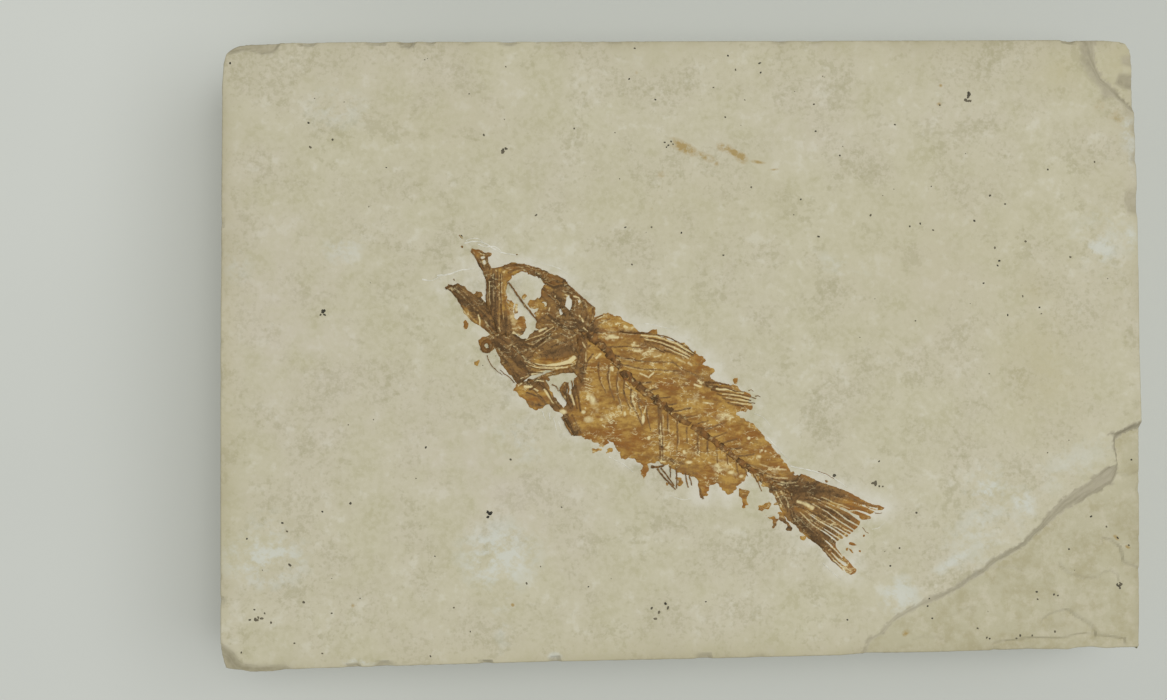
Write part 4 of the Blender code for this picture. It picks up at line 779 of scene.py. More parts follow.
def node(tree, kind, inputs=(), output=0, **settings):
    """Adds a node with its settings and gives one of its outputs. inputs pairs a socket's name or
    number with a value, a hex colour or another node's output."""
    made = tree.nodes.new("ShaderNode" + kind)
    for name, value in settings.items():
        setattr(made, name, value)
    for name, value in dict(inputs).items():
        if isinstance(value, bpy.types.NodeSocket):
            tree.links.new(value, made.inputs[name])
        else:
            made.inputs[name].default_value = linear(value) if isinstance(value, str) else value
    return made.outputs[output]


def new_material(name, roughness, specular, patterns, attributes=()):
    """A material with its even values set, its tree, and the fields that its colours follow. Each
    pattern has a name, the size of its lumps in mm, its detail and roughness and, where it is
    stretched, its turn and its scales."""
    material = bpy.data.materials.new(name)
    material.use_nodes = True
    tree = material.node_tree
    shader = tree.nodes["Principled BSDF"]
    shader.inputs["Roughness"].default_value = roughness
    shader.inputs["Specular IOR Level"].default_value = specular
    fields = {"place": node(tree, "TexCoord", output="Object")}
    for pattern, size_mm, detail, rough_share, *stretched in patterns:
        place = fields["place"]
        if stretched:
            turn, scales = stretched
            place = node(tree, "Mapping", {"Vector": place, "Rotation": (0, 0, math.radians(turn)),
                                           "Scale": scales})
        fields[pattern] = node(tree, "TexNoise", {"Vector": place, "Scale": 1 / (size_mm * MM),
                                                  "Detail": detail, "Roughness": rough_share}, "Fac")
    for painted in attributes:
        fields[painted] = node(tree, "Attribute", output="Fac", attribute_name=painted)
    return material, tree, fields


def give_surface(material, colour, relief=None, strength=0.0, depth_mm=0.0):
    """Gives a material its colour and its finest relief."""
    tree = material.node_tree
    shader = tree.nodes["Principled BSDF"]
    tree.links.new(colour, shader.inputs["Base Color"])
    if relief is not None:
        bump = {"Height": relief, "Strength": strength, "Distance": depth_mm * MM}
        tree.links.new(node(tree, "Bump", bump), shader.inputs["Normal"])
    return material


def coat(tree, under, over, fields, limits, mask=None, final=None):
    """One colour laid over another, as strongly as the product of the fields says. limits are where
    it starts and ends and how strong it is there. A mask holds it in, and final are limits that
    hold after the mask."""
    share = fields[0]
    for other in fields[1:]:
        share = node(tree, "Math", {0: share, 1: other}, operation="MULTIPLY")
    share = node(tree, "MapRange", enumerate([share, *limits]))
    if mask is not None:
        share = node(tree, "Math", {0: mask, 1: share}, operation="MULTIPLY")
    if final is not None:
        share = node(tree, "MapRange", enumerate([share, *final]))
    return node(tree, "Mix", {0: share, 6: under, 7: over}, 2, data_type="RGBA")


def patches(tree, place, ovals):
    """The strongest of several ovals on the slab, each full in its middle and nothing at its rim."""
    total = None
    for (x, y), (half_length, half_width), turn, strength in ovals:
        centred = node(tree, "Mapping", {"Vector": place, "Location": (x * MM, y * MM, FACE * MM),
                                         "Rotation": (0, 0, math.radians(turn)),
                                         "Scale": (half_length * MM, half_width * MM, 4 * MM)},
                       vector_type="TEXTURE")
        mask = node(tree, "TexGradient", {"Vector": centred}, "Fac", gradient_type="SPHERICAL")
        mask = node(tree, "Math", {0: mask, 1: strength}, operation="MULTIPLY")
        total = mask if total is None else node(tree, "Math", {0: total, 1: mask}, operation="MAXIMUM")
    return total


# Ovals on the face: the middle, half the length and width, the turn and the strength of each.
BLEACHED = [
    ((-22.3, -10.9), (3.0, 2.2), 0, 1.0), ((-22.0, -9.4), (2.2, 1.6), 0, 0.5),
    ((-9.8, -10.7), (2.9, 2.6), 0, 1.0), ((-9.6, -14.0), (0.8, 2.8), 0, 0.5),
    ((-18.1, 5.7), (1.6, 1.4), 0, 0.55), ((-18.4, 13.2), (2.6, 1.8), 0, 0.4),
    ((22.6, 6.3), (2.6, 2.9), 20, 0.4), ((22.4, 5.7), (1.4, 1.2), 0, 0.9),
    ((24.0, 12.0), (0.7, 1.4), 0, 0.9), ((16.4, -7.2), (1.7, 1.9), 0, 0.85),
    ((18.3, -7.8), (0.9, 1.4), 30, 0.85), ((16.3, -9.2), (4.2, 2.6), 52, 0.5),
    ((11.7, -12.8), (1.5, 1.4), 0, 1.0), ((21.0, -5.8), (3.8, 1.6), 30, 0.4),
    ((8.6, 4.9), (2.2, 0.9), -15, 0.4), ((-8.6, -4.6), (3.0, 1.7), -35, 0.4),
    ((-23.8, 5.0), (1.2, 1.7), 0, 0.4), ((-17.1, -16.4), (1.5, 0.35), 0, 1.0),
    ((-6.8, -16.1), (0.5, 0.3), 0, 1.0), ((24.2, 11.2), (0.35, 1.8), 0, 1.0),
    ((24.1, 6.4), (0.5, 1.0), 0, 0.8), ((14.6, -11.0), (2.4, 0.5), 33, 0.7),
]
YELLOWED = [
    ((19.2, -0.6), (3.6, 5.2), 10, 0.8), ((20.4, 15.2), (2.6, 2.2), 0, 0.7),
    ((19.0, 3.6), (2.2, 1.8), 0, 0.7), ((14.0, 5.0), (9.0, 8.0), 0, 0.35),
    ((23.6, 15.8), (1.8, 2.4), 0, 0.8), ((-24.6, -2.0), (1.0, 16.0), 0, 0.55),
    ((0.0, -16.8), (26.0, 2.0), 0, 0.5), ((-12.5, 12.5), (7.0, 3.0), 0, 0.3),
    ((1.0, 8.0), (9.0, 3.5), 0, 0.3), ((23.4, -10.2), (1.4, 1.0), 0, 0.9),
]
PINKISH = [
    ((-21.0, 2.0), (6.0, 13.0), 25, 0.6), ((-10.0, -6.5), (9.0, 4.0), -35, 0.7),
    ((-13.0, 14.0), (8.0, 3.0), 0, 0.4), ((8.0, 12.5), (12.0, 3.0), 0, 0.3),
    ((13.5, 3.5), (5.0, 6.0), 0, 0.4), ((21.2, -14.3), (2.6, 2.0), 20, 0.9),
]
OCHRE_STAINS = [
    ((2.83, 10.9), (0.4, 0.22), -25, 1.6), ((0.1, 11.2), (1.1, 0.42), -27, 1.1),
    ((1.2, 10.7), (0.9, 0.3), -20, 0.8), ((1.9, 10.3), (0.2, 0.2), 0, 0.8),
    ((2.4, 11.1), (0.75, 0.34), -25, 1.0), ((3.2, 10.65), (0.6, 0.36), -35, 1.1),
    ((4.1, 10.4), (0.6, 0.14), -8, 0.8), ((-1.1, 9.75), (0.3, 0.28), 0, 0.55),
    ((5.0, 10.0), (0.5, 0.09), 5, 0.6), ((-9.05, -13.35), (0.14, 0.14), 0, 1.0),
    ((12.05, -14.9), (0.3, 0.22), 40, 0.9), ((23.5, -9.8), (0.3, 0.16), -35, 1.0),
    ((24.1, -10.3), (0.22, 0.12), -20, 1.0), ((-17.6, -13.4), (0.16, 0.16), 0, 0.6),
    ((23.4, 12.7), (1.0, 0.8), -20, 0.36), ((22.5, 13.4), (0.9, 0.8), 0, 0.25),
    ((13.9, 14.5), (0.14, 0.14), 0, 0.7), ((13.8, 13.5), (0.18, 0.18), 0, 0.6),
    ((-1.6, 7.9), (0.13, 0.13), 0, 0.5), ((-2.4, 15.2), (0.16, 0.16), 0, 0.5),
]
LIMESTONE_PATTERNS = [
    ("grain", 0.3, 4.0, 0.65), ("cloud", 4.5, 4.0, 0.6), ("soft", 1.5, 4.0, 0.6),
    ("fleck", 0.32, 2.0, 0.6), ("fleck cloud", 2.2, 2.0, 0.5), ("spot", 0.22, 3.0, 0.6),
    ("pale", 0.6, 3.0, 0.6), ("chalk", 1.0, 5.0, 0.7, 35, (0.9, 1.1, 1.0)),
    ("beds", 3.0, 4.0, 0.6, 0, (1.0, 1.0, 22.0)), ("rust", 1.1, 5.0, 0.68),
    ("crumb", 0.8, 5.0, 0.68), ("ochre", 0.3, 5.0, 0.7), ("dust", 0.12, 2.0, 0.6),
]
LIMESTONE_COATS = [  # each: its colour, the fields that it follows, its limits, its mask, limits after that
    ("#bfbaa1", ["soft"], (0.36, 0.64, 0.0, 1.0)),
    ("#c1bca3", ["grain"], (0.42, 0.58, 0.0, 0.65)),
    ("#c0b9a6", ["cloud"], (0.42, 0.6, 0.0, 0.4)),
    ("#a19c7c", ["fleck", "fleck cloud"], (0.3, 0.39, 0.0, 0.42)),
    ("#9b9676", ["spot", "cloud"], (0.29, 0.37, 0.0, 0.32)),
    ("#cbc8b6", ["pale", "soft"], (0.31, 0.42, 0.0, 0.5)),
    ("#c2baab", ["soft"], (0.3, 0.7, 0.0, 0.8), "pinkish"),
    ("#aea67e", ["soft"], (0.25, 0.65, 0.0, 0.75), "yellowed"),
    # Preparation scraped the stone beside the fish, which left it paler there.
    ("#cdcabc", ["soft"], (0.38, 0.6, 0.0, 0.75), "scraped"),
    ("#c8cbc2", ["chalk"], (0.42, 0.6, 0.05, 1.8), "bleached", (0.1, 1.0, 0.0, 0.68)),
    ("#b2ad91", ["soft"], (0.3, 0.6, 0.35, 0.9), "flaked"),
    ("#a29a78", ["flaked", "rust"], (0.46, 0.64, 0.0, 0.6)),
    ("#c6c0aa", ["flaked", "crumb"], (0.5, 0.66, 0.0, 0.5)),
    ("#9c8142", ["ochre"], (0.34, 0.62, 0.1, 1.9), "ochre stained", (0.12, 1.0, 0.0, 0.8)),
]


def split_limestone():
    """Fine lithographic limestone, split along its beds and sawn at the edges: matt and warm grey.
    Its beds differ a little, so the face has soft lilac and olive clouds, small olive flecks and
    bleached, chalky patches. Broken stone is greyer and browner, and shows the beds as thin lines.
    The darker brown near the edges and on the flake's step, the corner break and the lower bed is
    partly painted shade."""
    material, tree, fields = new_material("split_limestone", 0.82, 0.25, LIMESTONE_PATTERNS,
                                          ["scraped", "flaked", "sawn", "rubbed", "broken"])
    ovals = {"bleached": BLEACHED, "yellowed": YELLOWED, "pinkish": PINKISH, "ochre stained": OCHRE_STAINS}
    for name, places in ovals.items():
        fields[name] = patches(tree, fields["place"], places)
    colour = "#b3ae90"
    for over, followed, limits, *within in LIMESTONE_COATS:
        mask = fields[within[0]] if within else None
        colour = coat(tree, colour, over, [fields[name] for name in followed], limits, mask, *within[1:])
    # The beds lie level: their lines show where the stone is sawn or broken across them.
    grain, beds, side = fields["grain"], fields["beds"], fields["sawn"]
    sawn = coat(tree, "#a39e83", "#bcb69c", [beds], (0.3, 0.7, 0.0, 1.0))
    torn = coat(tree, "#89826c", "#a8a18b", [beds], (0.36, 0.62, 0.0, 1.0))
    colour = coat(tree, colour, sawn, [side], (0.0, 1.0, 0.0, 0.8))
    # Darker brown near the edges: partly wear, partly painted shade along the rounded edge and on the lower
    # bed's facet.
    colour = coat(tree, colour, "#968d6e", [grain], (0.35, 0.6, 0.4, 1.0), fields["rubbed"])
    # Greyer brown of broken stone, laid darker on the flake's step, the corner break and the lower bed as
    # painted shade.
    colour = coat(tree, colour, torn, [grain], (0.3, 0.6, 0.7, 1.0), fields["broken"])
    ridges = node(tree, "Math", {0: beds, 1: side}, operation="MULTIPLY")
    relief = node(tree, "Math", {0: fields["dust"], 1: 0.5, 2: grain}, operation="MULTIPLY_ADD")
    relief = node(tree, "Math", {0: ridges, 1: 2.0, 2: relief}, operation="MULTIPLY_ADD")
    return give_surface(material, colour, relief, 0.3, 0.03)


DRAWN_OUT = (22, (0.65, 1.35, 1.0))  # turn and scales of the patterns that follow the fish's length
MINERAL_PATTERNS = [
    ("mottle", 0.55, 5.0, 0.66, *DRAWN_OUT), ("grain", 0.13, 3.0, 0.6), ("crease", 0.45, 3.0, 0.6),
    ("glint", 0.42, 3.0, 0.6, *DRAWN_OUT), ("glint cloud", 0.9, 2.0, 0.5),
]


def fine_lines(tree, pattern, strength, shares):
    """Fine wavering lines where a pattern passes its middle, held in by shares."""
    for operation in ("SUBTRACT", "ABSOLUTE"):
        pattern = node(tree, "Math", {0: pattern, 1: 0.5}, operation=operation)
    lines = node(tree, "MapRange", enumerate([pattern, 0.0, 0.03, strength, 0.0]))
    for share in shares:
        lines = node(tree, "Math", {0: lines, 1: share}, operation="MULTIPLY")
    return lines


def mineral(name, roughness, specular, depth_mm, thin, thick, rusty, brown, black_brown, cream):
    """A material coloured by how dark, rusty and worn it is, with its own fine mottling, cracked
    and creased into fine dark lines where bone lies thick, and with fine cream lines of painted glint."""
    material, tree, fields = new_material(name, roughness, specular, MINERAL_PATTERNS,
                                          ["dark", "rust", "worn_and_glints"])
    mottle, grain, dark = fields["mottle"], fields["grain"], fields["dark"]
    stout = node(tree, "MapRange", enumerate([dark, 0.1, 0.6, 0.3, 1.0]))
    seldom = node(tree, "MapRange", enumerate([stout, 0.3, 1.0, 1.0, 0.7]))
    here = node(tree, "MapRange", enumerate([fields["glint cloud"], 0.46, 0.6, 0.0, 1.0]))
    added = {  # to each attribute: values that break it up
        "rust": [node(tree, "MapRange", enumerate([mottle, 0.35, 0.65, 0.15, -0.25]))],
        "dark": [node(tree, "MapRange", enumerate([grain, 0.35, 0.65, -0.14, 0.14])),
                 fine_lines(tree, fields["crease"], 0.4, [stout])],
        # Painted highlights: the glint lines are laid on with the worn cream.
        "worn_and_glints": [node(tree, "MapRange", enumerate([grain, 0.35, 0.65, 0.12, -0.14])),
                 fine_lines(tree, fields["glint"], 0.75, [seldom, here])],
    }
    for painted, values in added.items():
        for value in values:
            fields[painted] = node(tree, "Math", {0: fields[painted], 1: value}, operation="ADD")
    colour = coat(tree, thick, thin, [mottle], (0.41, 0.59, 0.0, 1.0))
    for over, followed, limits in ((rusty, "rust", (0.0, 1.0, 0.0, 0.9)),
                                   (brown, "dark", (0.05, 0.6, 0.0, 0.92)),
                                   (black_brown, "dark", (0.6, 1.1, 0.0, 0.9)),
                                   (cream, "worn_and_glints", (0.12, 0.85, 0.0, 0.95))):
        colour = coat(tree, colour, over, [fields[followed]], limits)
    relief = node(tree, "Math", {0: grain, 1: mottle}, operation="ADD")
    return give_surface(material, colour, relief, 0.5, depth_mm)


def mineralised_skin():
    """Skin and scales turned to phosphate and iron oxide: a thin brittle film, ochre where it is thin,
    brown where it lies thick, with rust edges and the cream of the stone where it has worn through."""
    return mineral("mineralised_skin", 0.66, 0.15, 0.03,
                   "#ae8a45", "#875f2a", "#86531f", "#785a35", "#48361f", "#d4c696")


def mineralised_bone():
    """Bone turned to brown phosphate: dense, with a faint satin gloss, dark in the stout bones and
    tan where a thin one has worn."""
    return mineral("mineralised_bone", 0.64, 0.13, 0.02,
                   "#9a7540", "#7d592a", "#7a4b22", "#6e4f2b", "#46331b", "#c8b582")


def manganese_grains():
    """Specks of black manganese and iron oxide in the stone: dull, almost black brown."""
    material, tree, fields = new_material("manganese_grains", 0.7, 0.3, [("shade", 0.8, 2.0, 0.5)])
    colour = coat(tree, "#2b2a22", "#6b6450", [fields["shade"]], (0.35, 0.65, 0.0, 1.0))
    return give_surface(material, colour)


def scraped_chalk():
    """Fine lines that the preparer's needle left in the stone: crushed, and so paler than the rest."""
    material, tree, fields = new_material("scraped_chalk", 0.9, 0.2, [("shade", 0.3, 3.0, 0.6)])
    colour = coat(tree, "#c0bdab", "#d9d7cb", [fields["shade"]], (0.35, 0.65, 0.0, 1.0))
    return give_surface(material, colour)


def pale_board():
    """The plain pale board that the slab lies on, a little darker grey from X = -34 mm towards +X."""
    material, tree, fields = new_material("pale_board", 0.9, 0.2, [("shade", 40.0, 2.0, 0.5)])
    colour = coat(tree, "#c6c9c3", "#cbcec8", [fields["shade"]], (0.35, 0.65, 0.0, 1.0))
    along = node(tree, "SeparateXYZ", {"Vector": fields["place"]}, "X")
    colour = coat(tree, colour, "#bcbfb9", [along], (-34 * MM, -12 * MM, 0.0, 0.9))
    return give_surface(material, colour)


# ---------------------------------------------------------------- the slab


def flake_top(x, y):
    return past_line(FLAKE_TOP, [(26.5, -17.5), (26.5, -3.2)], x, y) + 0.05 * rough(x, y, 0.6, 3)


def flake_foot(x, y):
    return past_line(FLAKE_FOOT, [(26.5, -17.5), (26.5, -3.6)], x, y) + 0.04 * rough(x, y, 0.5, 4)


def break_top(x, y):
    return past_line(BREAK_TOP, [(26.5, 12.3), (26.5, 18.0)], x, y) + 0.05 * rough(x, y, 0.5, 5)


def break_foot(x, y):
    return past_line(BREAK_FOOT, [(26.5, 12.7), (26.5, 18.0)], x, y) + 0.04 * rough(x, y, 0.4, 6)


def lower_bed_top(x, y):
    return past_line(LOWER_BED_LINE, [(-26.0, -18.0)], x, y) + 0.03 * rough(x, y, 0.4, 9)


def edge_ring():
    return LEFT_EDGE + TOP_EDGE[1:] + RIGHT_EDGE[::-1][1:] + BOTTOM_EDGE[::-1][1:-1]


def from_edge(x, y):
    """How far each place lies inside the slab's outline."""
    return depth_inside(edge_ring(), x, y)


def chip_depth(x, y):
    """How deep the chips out of the edges are at each place."""
    depth = np.zeros(np.shape(x))
    for outline, deep in CHIPS:
        share = np.clip((depth_inside(outline, x, y) + 0.06 * rough(x, y, 0.3, 15)) / 0.16, 0, 1)
        depth = np.maximum(depth, deep * share)
    return depth


def ledge_drop(x, y, line, drop, reach):
    """How far the face drops past a ledge's line: sharply there, and fading out over its reach."""
    start, end = line[0], line[-1]
    away = distance_to(line, x, y) + 0.03 * rough(x, y, 0.5, 17)
    below = inside(line + [(end[0], end[1] - reach), (start[0], start[1] - reach)], x, y)
    return below * drop * np.clip(away / 0.13, 0, 1) * np.clip(1 - away / reach, 0, 1) ** 2


def face_height(x, y):
    """The height of the split face over the slab's nominal face, at each place."""
    height = 0.012 * rough(x, y, 4.0, 21) - 0.02
    fall = fall_between(flake_top(x, y), flake_foot(x, y))
    terraces = 3 * fall + 0.3 * rough(x, y, 1.3, 25)
    stepped = np.floor(terraces) + np.clip((terraces % 1) * 2 - 0.5, 0, 1)
    shaped = np.clip(0.5 * fall + stepped / 6, 0, 1) * (fall > 0) * (fall < 1) + (fall >= 1)
    height -= shaped * on_scale(x, FLAKE_DEPTHS)
    height += (fall >= 1) * (0.04 * rough(x, y, 2.4, 31) + 0.015 * rough(x, y, 0.7, 33))
    on_floor = np.clip(flake_foot(x, y) / 0.2, 0, 1)
    for line, drop, reach in FLAKE_LEDGES:
        height -= on_floor * ledge_drop(x, y, line, drop, reach)
    fall = fall_between(break_top(x, y), break_foot(x, y))
    height -= fall * (BREAK_DEPTH + 0.04 * rough(x, y, 0.8, 41))
    for outline, deep in BREAK_FACETS:
        height -= np.clip(depth_inside(outline, x, y) / 0.3, 0, 1) * deep
    past = np.clip(lower_bed_top(x, y), 0, None)
    height -= np.minimum(0.6 * past, LOWER_BED_DEPTH) * (1 + 0.1 * rough(x, y, 0.6, 43))
    away = from_edge(x, y)
    nibbled = np.clip(rough(x, y, 0.9, 51) - 0.15, 0, 1) * 0.5
    height -= np.clip(nibbled - away * 0.9, 0, 0.3) * (away < 0.5)
    return height - chip_depth(x, y)


def paint_stone(slab, x, y, z):
    """Where the stone is sawn, rubbed, broken, flaked, scraped or painted with shade, for its material."""
    away = from_edge(x, y)
    near_face = np.clip((z - FACE + 0.9) / 0.3, 0, 1)
    set_attribute(slab, "sawn", np.clip((0.075 - away) / 0.03, 0, 1))
    # Darker near the edges: partly wear, partly painted shade along the rounded edge.
    edge_wear_and_shade = 0.75 * np.exp(-np.abs(away) / 0.25) + 0.3 * np.exp(-np.abs(away) / 1.4)
    edge_wear_and_shade *= np.clip(0.42 + 0.8 * rough(x, y, 4.0, 45), 0.1, 1)
    # Painted shade on the corner facet above the lower bed.
    edge_wear_and_shade = np.maximum(edge_wear_and_shade, 0.7 * np.clip(lower_bed_top(x, y) / 0.2, 0, 1))
    set_attribute(slab, "rubbed", edge_wear_and_shade * near_face)
    set_attribute(slab, "scraped", np.clip(1 + fish_field(x, y) / 0.9, 0, 1) * (z > FACE - 0.2))
    flake = fall_between(flake_top(x, y), flake_foot(x, y))
    corner = fall_between(break_top(x, y), break_foot(x, y))
    fringe = np.clip(1 + break_top(x, y) / 0.35 + 1.2 * rough(x, y, 0.6, 47), 0, 1) * (corner < 1)
    # Painted shade on the flake's step, darker towards its deep end.
    step = ((flake > 0) & (flake < 1)) * np.interp(x, [18.5, 22.0], [0.62, 0.95])
    broken = np.maximum(step, 0.8 * fringe)
    for line, drop, reach in FLAKE_LEDGES:
        edge = ledge_drop(x, y, line, drop, reach) * np.clip(1 - distance_to(line, x, y) / 0.14, 0, 1)
        broken = np.maximum(broken, np.clip(edge / drop, 0, 0.5) * (flake >= 1))
    for outline, _ in BREAK_FACETS:
        broken = np.maximum(broken, 0.8 * np.clip(depth_inside(outline, x, y) / 0.2, 0, 1))
    broken = np.maximum(broken, 0.6 * np.clip(chip_depth(x, y) / 0.1, 0, 1))
    # Painted shade on the corner facet above the lower bed, with a darker line of it along the facet's top.
    bed = lower_bed_top(x, y)
    broken = np.maximum(broken, 0.45 * np.clip(bed / 0.2, 0, 1) + 0.3 * np.exp(-np.abs(bed) / 0.06))
    set_attribute(slab, "broken", broken * near_face)
    set_attribute(slab, "flaked", flake >= 1)


def fish_field(x, y):
    """How far each place lies inside the fish, and below zero outside it."""
    outlines = [SKIN, TAIL_WEB, UPPER_JAW, LOWER_JAW, SKULL_ROOF, CHEEK, THROAT_SKIN, PELVIC_FIN]
    return np.max([depth_inside(outline, x, y) for outline in outlines], axis=0)


def coons_patch(u, v):
    """Maps the unit square onto the slab's outline. u and v are shares of its length and width."""
    def at(edge, share, axis):
        edge = np.array(edge)
        along = edge[:, axis]
        wanted = along[0] + share * (along[-1] - along[0])
        other = np.interp(wanted, along, edge[:, 1 - axis])
        return (wanted, other) if axis == 0 else (other, wanted)

    bottom, top = at(BOTTOM_EDGE, u, 0), at(TOP_EDGE, u, 0)
    left, right = at(LEFT_EDGE, v, 1), at(RIGHT_EDGE, v, 1)
    placed = []
    for k in (0, 1):
        corners = ((1 - u) * (1 - v) * BOTTOM_EDGE[0][k] + u * (1 - v) * BOTTOM_EDGE[-1][k]
                   + (1 - u) * v * TOP_EDGE[0][k] + u * v * TOP_EDGE[-1][k])
        placed.append((1 - v) * bottom[k] + v * top[k] + (1 - u) * left[k] + u * right[k] - corners)
    return placed


def spaced(places):
    """Shares from 0 to 1 with a step of its own in each stretch: pairs of (start, step), then the end."""
    (*stretches, end) = places
    starts = [start for start, _ in stretches] + [end]
    marks = []
    for (start, step), stop in zip(stretches, starts[1:]):
        marks += list(np.linspace(start, stop, max(1, round((stop - start) / step)), endpoint=False))
    marks = np.array(marks + [end])
    return (marks - marks[0]) / (marks[-1] - marks[0])


GRID_COLUMNS = [(-24.5, 0.12), (-20.8, 0.26), (8.6, 0.12), 24.5]  # x and the spacing from there on
GRID_ROWS = [(-16.6, 0.12), (-3.2, 0.32), (12.4, 0.12), 16.6]  # y and the spacing from there on


def model_slab(material):
    """The slab: a grid laid over its face, finest at the broken corners, drawn onto its outline and
    onto the edges of the steps, then extruded down in rows to its underside."""
    columns, rows = spaced(GRID_COLUMNS), spaced(GRID_ROWS)
    deselect_all()
    counts = len(columns) - 1, len(rows) - 1
    bpy.ops.mesh.primitive_grid_add(x_subdivisions=counts[0], y_subdivisions=counts[1], size=1.0)
    slab = bpy.context.object
    slab.name = slab.data.name = "slab_stone"
    points = coordinates(slab) * MM + 0.5
    u = columns[np.rint(points[:, 0] * counts[0]).astype(int)]
    v = rows[np.rint(points[:, 1] * counts[1]).astype(int)]
    x, y = coons_patch(u, v)
    rim = (u == 0) | (u == 1) | (v == 0) | (v == 1)
    x, y = inset_rim(x, y, 0.1)
    for field in (flake_top, flake_foot, break_top, break_foot, lower_bed_top):
        moved_x, moved_y, _ = pulled_onto(x, y, field, 0.06)
        x, y = np.where(rim, x, moved_x), np.where(rim, y, moved_y)
    z = FACE + face_height(x, y)
    set_coordinates(slab, np.stack([x, y, z], axis=1))
    extrude_sides(slab)
    paint_stone(slab, *coordinates(slab).T)
    finish_piece(slab, material, "limestone", "limestone_slab", angle=28)


def inset_rim(x, y, by):
    """Draws places that lie nearer the outline than that in from it."""
    here, slope_x, slope_y = slopes(from_edge, x, y)
    size = np.maximum(np.hypot(slope_x, slope_y), 0.5)
    push = np.clip(by - here, 0, None) * (here < by)
    return x + push * slope_x / size, y + push * slope_y / size


RUBBED_EDGE = [(0.045, 0.02), (0.035, 0.045), (0.015, 0.07)]  # outward and down, row by row
SIDE_ROWS = 22
LOWER_EDGE = [(-0.04, 0.06), (-0.1, 0.04)]
HALF_SIZE = (24.7, 16.5)  # about half the slab's length and width


def extrude_sides(slab):
    """Extrudes the rim over the rubbed edge and down the sawn sides, and closes the underside."""
    make_active(slab)
    bpy.ops.object.mode_set(mode="EDIT")
    bpy.ops.mesh.select_mode(type="EDGE")
    bpy.ops.mesh.select_all(action="DESELECT")
    mesh = bmesh.from_edit_mesh(slab.data)
    for edge in mesh.edges:
        edge.select_set(edge.is_boundary)
    rim = [vert for vert in mesh.verts if vert.select]
    places = np.array([vert.co[:2] for vert in rim]) / MM
    _, slope_x, slope_y = slopes(from_edge, places[:, 0], places[:, 1], 0.02)
    size = np.maximum(np.hypot(slope_x, slope_y), 0.5)
    outward = {}  # for each place of the rim, which way lies straight out of the slab
    for vert, dx, dy in zip(rim, -slope_x / size, -slope_y / size):
        outward[round(vert.co.x, 8), round(vert.co.y, 8)] = Vector((dx, dy, 0.0))
    rows_left = SIDE_ROWS
    for number, (out, down) in enumerate(RUBBED_EDGE + [(0.0, None)] * SIDE_ROWS + LOWER_EDGE):
        bpy.ops.mesh.extrude_region_move(TRANSFORM_OT_translate={"value": (0, 0, 0)})
        mesh = bmesh.from_edit_mesh(slab.data)
        starts = mesh.verts.layers.float_vector
        layer = starts.get("start") or starts.new("start")
        for vert in [vert for vert in mesh.verts if vert.select]:
            if number == 0:
                vert[layer] = vert.co
            start = vert[layer]
            direction = outward[round(start.x, 8), round(start.y, 8)]
            vert.co = vert.co + direction * out * MM
            # A row of the side goes down by an even share of the height that is left.
            vert.co.z -= (vert.co.z - 0.1 * MM) / rows_left if down is None else down * MM
        if down is None:
            rows_left -= 1
        bmesh.update_edit_mesh(slab.data)
    bpy.ops.mesh.edge_face_add()
    bpy.ops.mesh.quads_convert_to_tris()
    bpy.ops.mesh.select_all(action="SELECT")
    bpy.ops.mesh.normals_make_consistent(inside=False)
    bpy.ops.object.mode_set(mode="OBJECT")
    slab.data.attributes.remove(slab.data.attributes["start"])
    points = coordinates(slab)
    low = points[:, 2] < 0.02
    points[low, 2] = UNDERSIDE
    sides = (from_edge(points[:, 0], points[:, 1]) < 0.02) & ~low
    wobble = 0.012 * (1 + rough(points[:, 0] + points[:, 1], points[:, 2] * 6, 1.5, 61))
    points[:, :2] -= (sides * wobble)[:, None] * np.clip(points[:, :2] / np.array(HALF_SIZE), -1, 1)
    set_coordinates(slab, points)


# ---------------------------------------------------------------- the fish


def line_mask(lines, x, y):
    """How strongly the lines mark each place: (path, start width, end width, strength) each."""
    total = np.zeros(np.shape(x))
    swayed_x = x + 0.03 * rough(x, y, 0.3, 201, 2)
    swayed_y = y + 0.03 * rough(x, y, 0.3, 202, 2)
    patchy = 0.9 + 0.35 * rough(x, y, 0.3, 203, 2)
    for path, start_width, end_width, strength in lines:
        ends = np.array(path)
        reach = max(start_width, end_width) + 0.1
        low, high = ends.min(axis=0) - reach, ends.max(axis=0) + reach
        near = np.flatnonzero((x > low[0]) & (x < high[0]) & (y > low[1]) & (y < high[1]))
        if len(near) == 0:
            continue
        away = slit_field(path, start_width, end_width, swayed_x[near], swayed_y[near])
        half = max((start_width + end_width) / 4, 0.045)
        mark = np.clip(0.5 - away / half, 0, 1) * strength * patchy[near]
        total[near] = np.maximum(total[near], mark)
    return total


def oval_mask(ovals, x, y):
    """The strongest of several oval places with ragged rims: (middle, radii, strength) each."""
    total = np.zeros(np.shape(x))
    ragged = 0.55 * rough(x, y, 0.8, 211, 4)
    for (mx, my), (half_width, half_height), strength in ovals:
        out = np.hypot((x - mx) / half_width, (y - my) / half_height) + ragged
        total = np.maximum(total, strength * np.clip(1.6 - 1.2 * out, 0, 1))
    return total


def slit_field(path, start_width, end_width, x, y):
    """Below zero inside a slit that widens evenly from its start to its end."""
    start, end = np.array(path[0]), np.array(path[-1])
    along = ((x - start[0]) * (end - start)[0] + (y - start[1]) * (end - start)[1])
    share = np.clip(along / np.sum((end - start) ** 2), 0, 1)
    return distance_to(path, x, y) - (start_width + share * (end_width - start_width)) / 2


